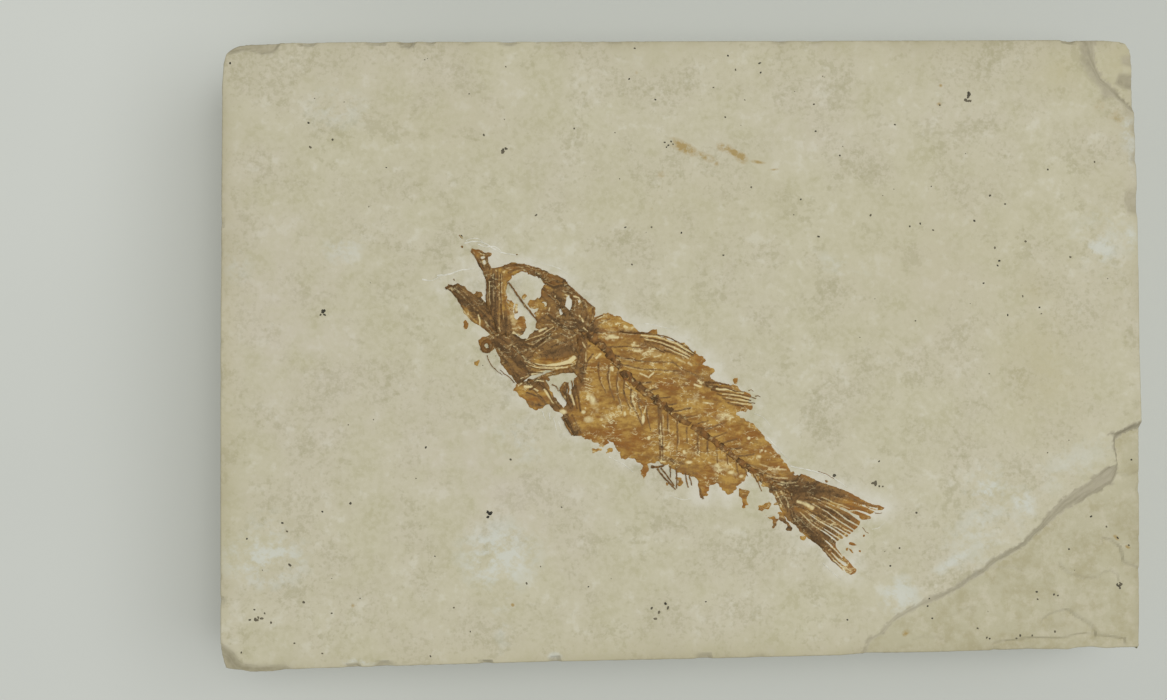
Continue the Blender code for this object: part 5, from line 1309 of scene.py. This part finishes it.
def fibres(x, y, fibre, seed):
    """Streaks from -1 to 1 that run along an angle, or out from a hub, as the fibres of a bone do."""
    if fibre is None:
        return np.zeros(np.shape(x))
    table = np.random.RandomState(seed + 5).uniform(-1.0, 1.0, (131, 131))
    way, across, along = fibre
    if isinstance(way, tuple):
        u = np.hypot(x - way[0], y - way[1]) / along
        v = np.arctan2(y - way[1], x - way[0]) / across
    else:
        c, s = math.cos(math.radians(way)), math.sin(math.radians(way))
        u, v = (x * c + y * s) / along, (y * c - x * s) / across
    fine = between_cells(table, u + 131, v + 131)
    return 0.6 * fine + 0.6 * between_cells(table, 0.6 * u + 157, 0.43 * v + 140)


def bone_lines(bones, widen, strength, shift=(0.0, 0.0)):
    """Lines to paint along slender bones, wider than they are and moved a little."""
    return [([(px + shift[0], py + shift[1]) for px, py in path], start * widen, end * widen, strength)
            for path, start, end in bones]


def all_bones():
    return (JAW_RODS + SKULL_RODS + GILL_RAYS + SHOULDER + RIBS + UNDER_SPINES + OVER_SPINES
            + FRONT_BACK_FIN + REAR_BACK_FIN + ANAL_FIN)


def markings(x, y):
    """The dark and the cream lines at each place, with a darker band, wider than the bone, along each
    bone and a painted highlight beside it.
    """
    spines = RIBS + UNDER_SPINES + OVER_SPINES
    painted = bone_lines(all_bones(), 1.7, 0.55) + bone_lines(spines, 1.6, 0.68)
    dark = line_mask(DARK_LINES + painted, x, y)
    # Painted highlights: a cream line beside each slender bone, moved a little to +X and -Y of it.
    glints = bone_lines(spines, 0.8, 0.6, (0.07, -0.06))
    glints += bone_lines(JAW_RODS + SKULL_RODS + GILL_RAYS, 0.7, 0.5, (0.06, -0.06))
    cream = line_mask(CREAM_LINES, x, y)
    broken = np.clip(0.5 + 1.6 * rough(x, y, 0.35, 221, 2), 0, 1)
    cream = np.maximum(cream, line_mask(glints, x, y) * broken)
    return dark, cream


def paint(piece, x, y, depth, streak):
    """How dark, rusty and worn each place of a film is, with its painted highlights, for its material."""
    lines, cream = markings(x, y)
    gaps = line_mask([(path, 0.9 * start, 0.9 * end, 0.95) for path, start, end in TAIL_GAPS], x, y)
    mottle = rough(x, y, 0.9, 231, 5)
    deep, pale = oval_mask(DEEP_PATCHES, x, y), oval_mask(PALE_PATCHES, x, y)
    stout = oval_mask(DARK_PATCHES, x, y)
    dark = np.minimum(1.1 * stout, 0.72) * (0.85 + 0.35 * mottle)
    dark = np.maximum(lines, dark + 0.5 * lines * (stout > 0.2))
    dark += 0.2 * np.clip(rough(x, y, 0.5, 241, 4), 0, 1) + 0.6 * np.clip(streak, 0, 1) * (0.42 + stout)
    rim = np.clip(0.65 - depth / 0.16, 0, 0.65) * np.clip(0.7 + rough(x, y, 0.5, 251), 0, 1)
    rust = np.maximum(deep * (0.8 + 0.4 * mottle), rim) + 0.25 * mottle
    flecks = np.clip(rough(x, y, 0.22, 261, 3) - 0.5 + 0.26 * pale, 0, 1) * 2.4 * (stout < 0.5)
    # The cream lines here include the painted highlights beside the bones.
    worn_and_glints = np.maximum(np.maximum(cream, gaps), np.maximum(flecks, oval_mask(CREAM_SPOTS, x, y)))
    worn_and_glints = np.maximum(worn_and_glints, pale * np.clip(0.25 + 1.1 * rough(x, y, 0.45, 271, 4), 0, 1))
    worn_and_glints += np.clip(-streak - 0.45, 0, 1) * 0.9 * (0.25 + np.maximum(pale, stout))
    set_attribute(piece, "dark", dark - 0.8 * np.clip(worn_and_glints, 0, 1))
    set_attribute(piece, "rust", rust)
    set_attribute(piece, "worn_and_glints", worn_and_glints)


def pressed_piece(name, outlines, material, thickness, ragged=0.05, holes=(), slits=(), fibre=None,
                  seed=1, nodes=(), cell=0.042, painter=paint):
    """A thin piece pressed on the stone: a fine grid over its outlines, cut to their ragged edge,
    raised from a rim that is sunk in the stone, ridged along its bones, and given a back."""
    corners = np.array([point for outline in outlines for point in outline])
    low, high = corners.min(axis=0) - 0.15, corners.max(axis=0) + 0.15
    counts = [int(math.ceil(span / cell)) for span in high - low]
    deselect_all()
    bpy.ops.mesh.primitive_grid_add(x_subdivisions=counts[0], y_subdivisions=counts[1], size=1.0)
    piece = bpy.context.object
    piece.name = piece.data.name = name
    flat = coordinates(piece) * MM + 0.5
    x, y = (low + flat[:, :2] * (high - low)).T

    def cover(px, py):
        depth = np.max([depth_inside(outline, px, py) for outline in outlines], axis=0)
        torn = 1.1 * rough(px, py, 0.5, seed, 2) + 1.2 * rough(px, py, 0.19, seed + 2, 2)
        depth = depth + ragged * torn
        for (hx, hy), half_width, half_height in holes:
            oval = np.hypot((px - hx) / half_width, (py - hy) / half_height) - 1
            oval = oval + 0.8 * rough(px, py, 0.22, seed + 3, 3)
            depth = np.minimum(depth, oval * min(half_width, half_height))
        for path, start_width, end_width in slits:
            slit = slit_field(path, start_width - 0.05, 0.9 * end_width - 0.02, px, py)
            depth = np.minimum(depth, slit + 0.02 * rough(px, py, 0.25, seed + 4, 2))
        return depth

    moved_x, moved_y, on_rim = pulled_onto(x, y, cover, 0.6 * cell)
    kept = (cover(x, y) > 0) | on_rim
    x, y = moved_x, moved_y
    set_coordinates(piece, np.stack([x, y, np.full(len(x), FACE)], axis=1))
    delete_points(piece, ~kept)
    x, y, _ = coordinates(piece).T
    depth, streak = cover(x, y), fibres(x, y, fibre, seed)
    dark, cream = markings(x, y)
    rise = np.clip(depth / 0.12, 0, 1)
    rise = rise * (2 - rise)
    height = thickness * (1 + 0.35 * rough(x, y, 0.35, seed + 11, 3) + 0.25 * streak)
    height = (height + 0.022 * np.clip(dark, 0, 1) - 0.022 * np.clip(cream, 0, 1)) * rise - 0.03
    set_coordinates(piece, np.stack([x, y, FACE + height], axis=1))
    apply_modifier(piece, "SOLIDIFY", thickness=0.03 * MM, offset=-1.0)
    x, y, _ = coordinates(piece).T
    painter(piece, x, y, cover(x, y), fibres(x, y, fibre, seed))
    finish_piece(piece, material, "fossil_bone", *nodes, angle=60)


def delete_points(piece, unwanted):
    make_active(piece)
    bpy.ops.object.mode_set(mode="EDIT")
    bpy.ops.mesh.select_mode(type="VERT")
    bpy.ops.mesh.select_all(action="DESELECT")
    bpy.ops.object.mode_set(mode="OBJECT")
    piece.data.vertices.foreach_set("select", unwanted)
    bpy.ops.object.mode_set(mode="EDIT")
    bpy.ops.mesh.delete(type="VERT")
    bpy.ops.mesh.select_all(action="SELECT")
    bpy.ops.mesh.delete_loose(use_verts=True, use_edges=True, use_faces=False)
    bpy.ops.object.mode_set(mode="OBJECT")


def rods_along(name, bones, seed, lift, flat):
    """Slender rods along paths, tapering and pressed flat, which dip into the film here and there."""
    deselect_all()
    bpy.ops.curve.primitive_bezier_curve_add()
    rods = bpy.context.object
    curve = rods.data
    curve.splines.clear()
    curve.dimensions = "3D"
    curve.bevel_depth = 1.0
    curve.bevel_resolution = 2
    curve.use_fill_caps = True
    jitter = np.random.RandomState(seed)
    for path, start_width, end_width in bones:
        points = smooth(path)
        spline = curve.splines.new("POLY")
        spline.points.add(len(points) - 1)
        for k, (x, y) in enumerate(points):
            share = k / (len(points) - 1)
            width = (start_width + share * (end_width - start_width)) * (1 + 0.3 * jitter.uniform(-1, 1))
            sway = 0.015 * jitter.uniform(-1, 1, 2)
            spline.points[k].co = ((x + sway[0]) * MM, (y + sway[1]) * MM, 0.0, 1.0)
            spline.points[k].radius = max(width / 2, 0.014) * MM
    rods.name = name
    bpy.ops.object.convert(target="MESH")
    rods.data.name = name
    points = coordinates(rods)
    dips = 0.022 * rough(points[:, 0], points[:, 1], 0.5, seed + 1, 2)
    points[:, 2] = FACE + lift + dips + points[:, 2] * flat
    set_coordinates(rods, points)
    bpy.ops.object.mode_set(mode="EDIT")
    bpy.ops.mesh.select_all(action="SELECT")
    bpy.ops.mesh.normals_make_consistent(inside=False)
    bpy.ops.object.mode_set(mode="OBJECT")
    return rods


def slender_bones(name, bones, material, seed, lift, shade=0.62):
    """Slender bones as one piece, dark along their length with tan and rusty stretches."""
    rods = rods_along(name, bones, seed, lift, 0.42)
    x, y, _ = coordinates(rods).T
    set_attribute(rods, "dark", shade + 0.45 * rough(x, y, 0.5, seed + 2, 3))
    set_attribute(rods, "rust", 0.9 * rough(x, y, 0.9, seed + 3, 2))
    set_attribute(rods, "worn_and_glints", 1.6 * rough(x, y, 0.35, seed + 4, 3) - 0.55)
    finish_piece(rods, material, "fossil_bone", angle=50)


def vertebra_outlines():
    """The outline of each vertebra on the backbone: wide at both ends and narrow in the middle."""
    curve = [np.array(point) for point in smooth(BACKBONE)]
    reach = np.concatenate([[0], np.cumsum([np.hypot(*(b - a)) for a, b in zip(curve, curve[1:])])])
    step = reach[-1] / VERTEBRAE
    outlines = []
    for number in range(VERTEBRAE):
        width = np.interp(number, [0, VERTEBRAE - 1], VERTEBRA_WIDTHS) / 2
        places = [step * (number + share) for share in (-0.04, 0.28, 0.5, 0.72, 1.04)]
        middles = [np.array([np.interp(at, reach, [c[k] for c in curve]) for k in (0, 1)]) for at in places]
        way = (middles[-1] - middles[0]) / np.hypot(*(middles[-1] - middles[0]))
        side = np.array([-way[1], way[0]])
        halves = [width * share for share in (1.0, 0.86, 0.8, 0.86, 1.0)]
        upper = [tuple(middle + side * half) for middle, half in zip(middles, halves)]
        lower = [tuple(middle - side * half) for middle, half in zip(middles, halves)]
        outlines.append(upper + lower[::-1])
    return outlines


def paint_vertebrae(piece, x, y, depth, _):
    """Vertebrae are mid brown with darker rims and cracks, and tan where they have worn."""
    crack = rough(x, y, 0.22, 281, 4)
    set_attribute(piece, "dark", 0.56 + 0.3 * np.clip(1 - depth / 0.07, 0, 1) + 1.1 * crack)
    set_attribute(piece, "rust", 0.5 + 0.6 * rough(x, y, 0.8, 283))
    set_attribute(piece, "worn_and_glints", 1.9 * rough(x, y, 0.18, 285, 3) - 0.6)


def ring_path(ring):
    """A closed ring of bone, as one path that meets itself."""
    (mx, my), radius, width = ring
    turns = [2 * math.pi * k / 12 for k in range(13)]
    return ([(mx + radius * math.cos(t), my + 1.15 * radius * math.sin(t)) for t in turns], width, width)


def model_fish(skin, bone):
    pressed_piece("skin_film", [SKIN] + SKIN_SHREDS, skin, 0.05, 0.11,
                  fibre=(-12, 0.12, 1.0), seed=2, nodes=("fossil_fish",), cell=0.045)
    pressed_piece("throat_skin", [THROAT_SKIN, GIRDLE_SKIN], skin, 0.05, 0.08,
                  fibre=(-70, 0.12, 0.8), seed=12)
    pressed_piece("tail_web", [TAIL_WEB] + TAIL_SHREDS, skin, 0.05, 0.04, slits=TAIL_GAPS,
                  fibre=(TAIL_HUB, 0.03, 1.4), seed=13)
    pressed_piece("upper_jaw", [UPPER_JAW], skin, 0.09, 0.05, PRONG_HOLES, fibre=(88, 0.09, 1.0), seed=14)
    pressed_piece("lower_jaw", [LOWER_JAW], skin, 0.1, 0.05, fibre=(-45, 0.09, 1.0), seed=15)
    pressed_piece("skull_roof", [SKULL_ROOF], skin, 0.09, 0.07, SKULL_HOLES, fibre=(-38, 0.14, 0.5),
                  seed=16)
    pressed_piece("cheek_bones", [CHEEK, JAW_JOINT], skin, 0.08, 0.05, JOINT_HOLES,
                  fibre=(-38, 0.1, 0.9), seed=17)
    pressed_piece("rust_lumps", RUST_LUMPS, skin, 0.07, 0.07, seed=18)
    pressed_piece("gill_cover", [GILL_COVER], skin, 0.15, 0.02, fibre=(18, 0.12, 1.2), seed=19)
    pressed_piece("pelvic_fin", [PELVIC_FIN], skin, 0.07, 0.05, fibre=(-65, 0.09, 1.0), seed=20)
    slender_bones("jaw_rods", JAW_RODS + [ring_path(JAW_JOINT_RING)], bone, 101, 0.06)
    slender_bones("skull_rods", SKULL_RODS, bone, 102, 0.06, 0.5)
    slender_bones("gill_rays", GILL_RAYS, bone, 103, 0.05)
    slender_bones("shoulder_bones", SHOULDER, bone, 104, 0.05, 0.5)
    pressed_piece("vertebrae", vertebra_outlines(), bone, 0.1, 0.08, seed=21, painter=paint_vertebrae)
    pressed_piece("shoulder_arch", [SHOULDER_ARCH], skin, 0.11, 0.03, fibre=(75, 0.1, 0.9), seed=22)
    slender_bones("ribs", RIBS, bone, 106, 0.02, 0.5)
    slender_bones("spines_under_backbone", UNDER_SPINES, bone, 107, 0.015, 0.5)
    slender_bones("spines_over_backbone", OVER_SPINES, bone, 108, 0.012, 0.5)
    slender_bones("front_back_fin", FRONT_BACK_FIN, bone, 109, 0.03, 0.7)
    slender_bones("rear_back_fin", REAR_BACK_FIN, bone, 110, 0.03, 0.6)
    slender_bones("anal_fin", ANAL_FIN, bone, 111, 0.03)
    slender_bones("stray_bones", STRAY_FIBRES, bone, 112, 0.0, 0.4)


# ---------------------------------------------------------------- specks and scratches

SPECKS = [  # where a dark grain shows, and its radius
    ((-24.2, 15.7), 0.06), ((-20.0, 12.5), 0.06), ((-19.9, 11.2), 0.07), ((-18.7, 11.6), 0.06),
    ((-10.6, 11.85), 0.06), ((-13.7, -4.9), 0.06), ((-9.15, -5.55), 0.06), ((-17.75, -7.9), 0.07),
    ((-19.25, -8.35), 0.05), ((-21.4, -8.95), 0.06), ((-21.15, -9.4), 0.06), ((-23.3, -9.8), 0.05),
    ((-21.0, -11.2), 0.08), ((-20.25, -13.2), 0.07), ((-23.15, -14.15), 0.06), ((-22.35, -13.8), 0.05),
    ((-22.0, -14.3), 0.06), ((-22.9, -13.6), 0.05), ((-23.6, -15.9), 0.05), ((-20.75, -15.4), 0.05),
    ((-19.25, -15.95), 0.05), ((-13.45, -16.1), 0.05), ((-12.2, -13.5), 0.05), ((-8.3, -12.2), 0.06),
    ((-18.75, -13.8), 0.05), ((10.6, -5.65), 0.05), ((12.6, -8.4), 0.06), ((11.7, -10.3), 0.05),
    ((22.1, -8.65), 0.06), ((22.95, -9.2), 0.05), ((23.55, -9.8), 0.06), ((24.15, -10.2), 0.05),
    ((20.9, -10.4), 0.05), ((24.3, -5.6), 0.05), ((19.15, -12.7), 0.06), ((19.2, -13.1), 0.05),
    ((20.1, -12.85), 0.06), ((20.3, -12.9), 0.05), ((16.45, -15.15), 0.05), ((16.6, -15.2), 0.05),
    ((18.25, -15.05), 0.06), ((18.05, -15.2), 0.05), ((18.9, -15.05), 0.05), ((20.15, -14.85), 0.06),
    ((15.95, -14.65), 0.05), ((13.3, -13.0), 0.05), ((13.25, -13.45), 0.05), ((13.5, -14.1), 0.05),
    ((8.9, -14.15), 0.05), ((11.2, -11.25), 0.05), ((13.85, 13.45), 0.05), ((11.45, 12.4), 0.05),
    ((8.5, 10.75), 0.05), ((16.55, 8.6), 0.06), ((17.35, 8.15), 0.05), ((15.7, 7.25), 0.06),
    ((12.8, 7.1), 0.05), ((12.25, 6.95), 0.05), ((13.5, 6.75), 0.05), ((18.45, 6.15), 0.06),
    ((16.8, 5.8), 0.06), ((17.05, 5.1), 0.06), ((16.95, 4.85), 0.05), ((20.85, 5.3), 0.06),
    ((22.15, 10.4), 0.05), ((19.65, 10.0), 0.05), ((10.15, 7.55), 0.06), ((-2.5, 16.5), 0.05),
    ((-2.8, 14.85), 0.05), ((2.5, 16.1), 0.05), ((2.9, 15.35), 0.05), ((4.2, 15.7), 0.06),
    ((4.25, 15.2), 0.05), ((-1.4, 13.75), 0.05), ((-5.75, 12.2), 0.05), ((2.35, 12.8), 0.05),
    ((7.1, 13.5), 0.05), ((7.2, 12.05), 0.05), ((-7.8, 7.55), 0.06), ((-3.0, 6.9), 0.05),
    ((-1.6, 6.9), 0.05), ((0.0, 6.6), 0.05), ((7.35, 6.4), 0.06), ((2.25, 5.4), 0.05),
    ((-2.65, 4.9), 0.05), ((3.75, 9.05), 0.05), ((6.4, 8.4), 0.05), ((8.2, -6.4), 0.09),
    ((10.8, -7.0), 0.05), ((-0.9, 11.45), 0.05), ((-0.7, 11.3), 0.05), ((-0.55, 11.5), 0.05),
    ((-0.8, 11.2), 0.04), ((-0.45, 11.35), 0.04), ((-11.8, 6.4), 0.08), ((-11.75, 5.85), 0.06),
    ((18.3, 3.2), 0.05), ((19.2, 2.6), 0.05), ((17.5, 2.2), 0.05), ((16.2, 3.9), 0.05),
]
SPECK_CLUSTERS = [  # middle, reach, grains
    ((-9.5, 11.0), 0.22, 9), ((-19.25, 2.4), 0.26, 11), ((15.4, 13.9), 0.3, 14),
    ((-22.7, -14.1), 0.22, 7), ((-10.35, -8.45), 0.2, 7), ((23.6, -12.4), 0.2, 8),
    ((10.4, -6.9), 0.25, 8), ((-1.2, -13.7), 0.6, 6),
]
SCATTERED_SPECKS = 60
SCRATCHES = [  # each: its path, its width at the start and its width at the end
    ([(-13.1, 4.3), (-12.4, 4.4), (-11.85, 4.6), (-11.1, 4.7)], 0.09, 0.06),
    ([(-11.65, 6.05), (-11.1, 6.15), (-10.55, 6.05), (-9.8, 5.6), (-8.85, 5.4)], 0.08, 0.06),
    ([(-10.9, 6.0), (-10.5, 5.85), (-10.0, 5.85), (-9.7, 5.65)], 0.05, 0.04),
    ([(5.85, -5.9), (6.5, -6.05), (7.2, -6.2), (8.05, -6.5), (8.85, -7.0)], 0.07, 0.05),
    ([(4.6, -4.35), (5.2, -5.0), (5.8, -5.6)], 0.05, 0.03),
    ([(-7.45, -2.95), (-7.4, -3.2), (-7.3, -3.4)], 0.06, 0.03),
    ([(-7.1, -3.05), (-7.05, -3.4)], 0.05, 0.03),
    ([(-6.85, -3.3), (-6.75, -3.75), (-6.7, -4.0)], 0.05, 0.03),
    ([(-6.6, -3.5), (-6.45, -3.95)], 0.05, 0.03),
    ([(-11.55, 6.2), (-11.2, 6.3), (-10.8, 6.25), (-10.5, 5.95)], 0.04, 0.03),
    ([(-13.9, 4.1), (-13.4, 4.05), (-12.9, 4.3)], 0.08, 0.05),
    ([(-7.5, 4.95), (-6.7, 4.75), (-6.1, 4.4)], 0.04, 0.03),
    ([(7.6, -11.1), (8.1, -11.6), (8.6, -12.0)], 0.05, 0.03),
    ([(10.2, -9.3), (10.6, -9.2), (11.0, -8.8)], 0.04, 0.03),
    ([(-2.0, 1.75), (-1.4, 1.65), (-0.6, 1.45)], 0.04, 0.03),
    ([(-0.6, -7.5), (0.1, -7.7), (0.6, -7.6)], 0.04, 0.03),
    ([(3.9, -3.1), (4.4, -3.3), (4.9, -3.9)], 0.04, 0.03),
    ([(-3.9, -5.4), (-3.2, -5.75), (-2.6, -6.2)], 0.04, 0.03),
]


def model_specks(material):
    """Dark mineral grains, all one piece: one lumpy grain modelled once, then copied, turned and sunk."""
    deselect_all()
    bpy.ops.mesh.primitive_ico_sphere_add(subdivisions=2, radius=1.0)
    grain = bpy.context.object
    shape = coordinates(grain) * MM
    shape *= (1 + 0.3 * rough(shape[:, 0] * 2 + shape[:, 2], shape[:, 1] * 2, 1.0, 71))[:, None]
    chance = np.random.RandomState(72)
    places = list(SPECKS)
    for (mx, my), reach, count in SPECK_CLUSTERS:
        for _ in range(count):
            turn, far = chance.uniform(0, 2 * math.pi), reach * chance.uniform(0.0, 1.0)
            place = (mx + far * math.cos(turn), my + far * math.sin(turn))
            places.append((place, chance.uniform(0.04, 0.08)))
    for _ in range(SCATTERED_SPECKS):
        place = (chance.uniform(-23.5, 23.0), chance.uniform(-15.0, 16.0))
        places.append((place, chance.uniform(0.02, 0.04)))
    copies = []
    for (x, y), radius in places:
        if fish_field(np.array([x]), np.array([y]))[0] > -0.2:
            continue
        copy = grain.copy()
        copy.data = grain.data.copy()
        bpy.context.collection.objects.link(copy)
        turn = chance.uniform(0, 2 * math.pi)
        c, s = math.cos(turn), math.sin(turn)
        stretch = chance.uniform(0.7, 1.3)
        gx, gy = shape[:, 0] * stretch * radius, shape[:, 1] * radius / stretch
        ground = FACE + face_height(np.array([x]), np.array([y]))[0]
        set_coordinates(copy, np.stack([x + gx * c - gy * s, y + gx * s + gy * c,
                                        ground + shape[:, 2] * 0.015 + 0.002], axis=1))
        copies.append(copy)
    bpy.data.objects.remove(grain)
    deselect_all()
    for copy in copies:
        copy.select_set(True)
    bpy.context.view_layer.objects.active = copies[0]
    bpy.ops.object.join()
    specks = bpy.context.object
    specks.name = specks.data.name = "mineral_specks"
    finish_piece(specks, material, "limestone", angle=60)


def model_scratches(material):
    scratches = rods_along("needle_scratches", SCRATCHES, 120, -0.012, 0.3)
    finish_piece(scratches, material, "limestone", angle=50)


# ---------------------------------------------------------------- studio

BOARD_SIZE = 1.2  # in metres
LAMPS = [  # each: its name, its place and its size in metres, its power in watts and its colour
    ("ceiling_light", (0.03, 0.02, 0.55), 0.35, 1.66, "#fffdf8"),
    ("window_light", (0.30, 0.05, 0.45), 0.4, 0.86, "#f8faff"),
]
ROOM_COLOUR, ROOM_STRENGTH = "#f4f6f8", 0.33
CAMERA_PLACE = (-5.25, 0.32, FACE + 84.8)  # in millimetres
CAMERA_LENS, CAMERA_SENSOR = 48.8, 36.0  # in millimetres


def set_studio(board):
    deselect_all()
    bpy.ops.mesh.primitive_plane_add(size=BOARD_SIZE, location=(0, 0, UNDERSIDE * MM))
    floor = bpy.context.object
    floor.name = "board"
    floor.data.materials.append(board)
    for lamp in LAMPS:
        area_light(*lamp)
    world = bpy.data.worlds.new("room")
    bpy.context.scene.world = world
    world.use_nodes = True
    shell = world.node_tree.nodes["Background"]
    shell.inputs["Color"].default_value = linear(ROOM_COLOUR)
    shell.inputs["Strength"].default_value = ROOM_STRENGTH
    view = bpy.context.scene.view_settings
    view.view_transform = "Standard"
    view.look = "None"


def area_light(name, place, size, power, colour):
    light = bpy.data.lights.new(name, "AREA")
    light.shape = "DISK"
    light.size = size
    light.energy = power
    light.color = linear(colour)[:3]
    lamp = bpy.data.objects.new(name, light)
    bpy.context.collection.objects.link(lamp)
    lamp.location = place
    lamp.rotation_euler = (-Vector(place)).to_track_quat("-Z", "Y").to_euler()


def set_camera():
    """The camera looks straight down from above the slab, a little to the -X side of its middle."""
    camera = bpy.data.cameras.new("camera")
    camera.sensor_width = CAMERA_SENSOR
    camera.lens = CAMERA_LENS
    camera.clip_start = 0.005
    eye = bpy.data.objects.new("camera", camera)
    bpy.context.collection.objects.link(eye)
    eye.location = [along * MM for along in CAMERA_PLACE]
    bpy.context.scene.camera = eye


set_camera()
set_studio(pale_board())
model_slab(split_limestone())
model_fish(mineralised_skin(), mineralised_bone())
model_specks(manganese_grains())
model_scratches(scraped_chalk())
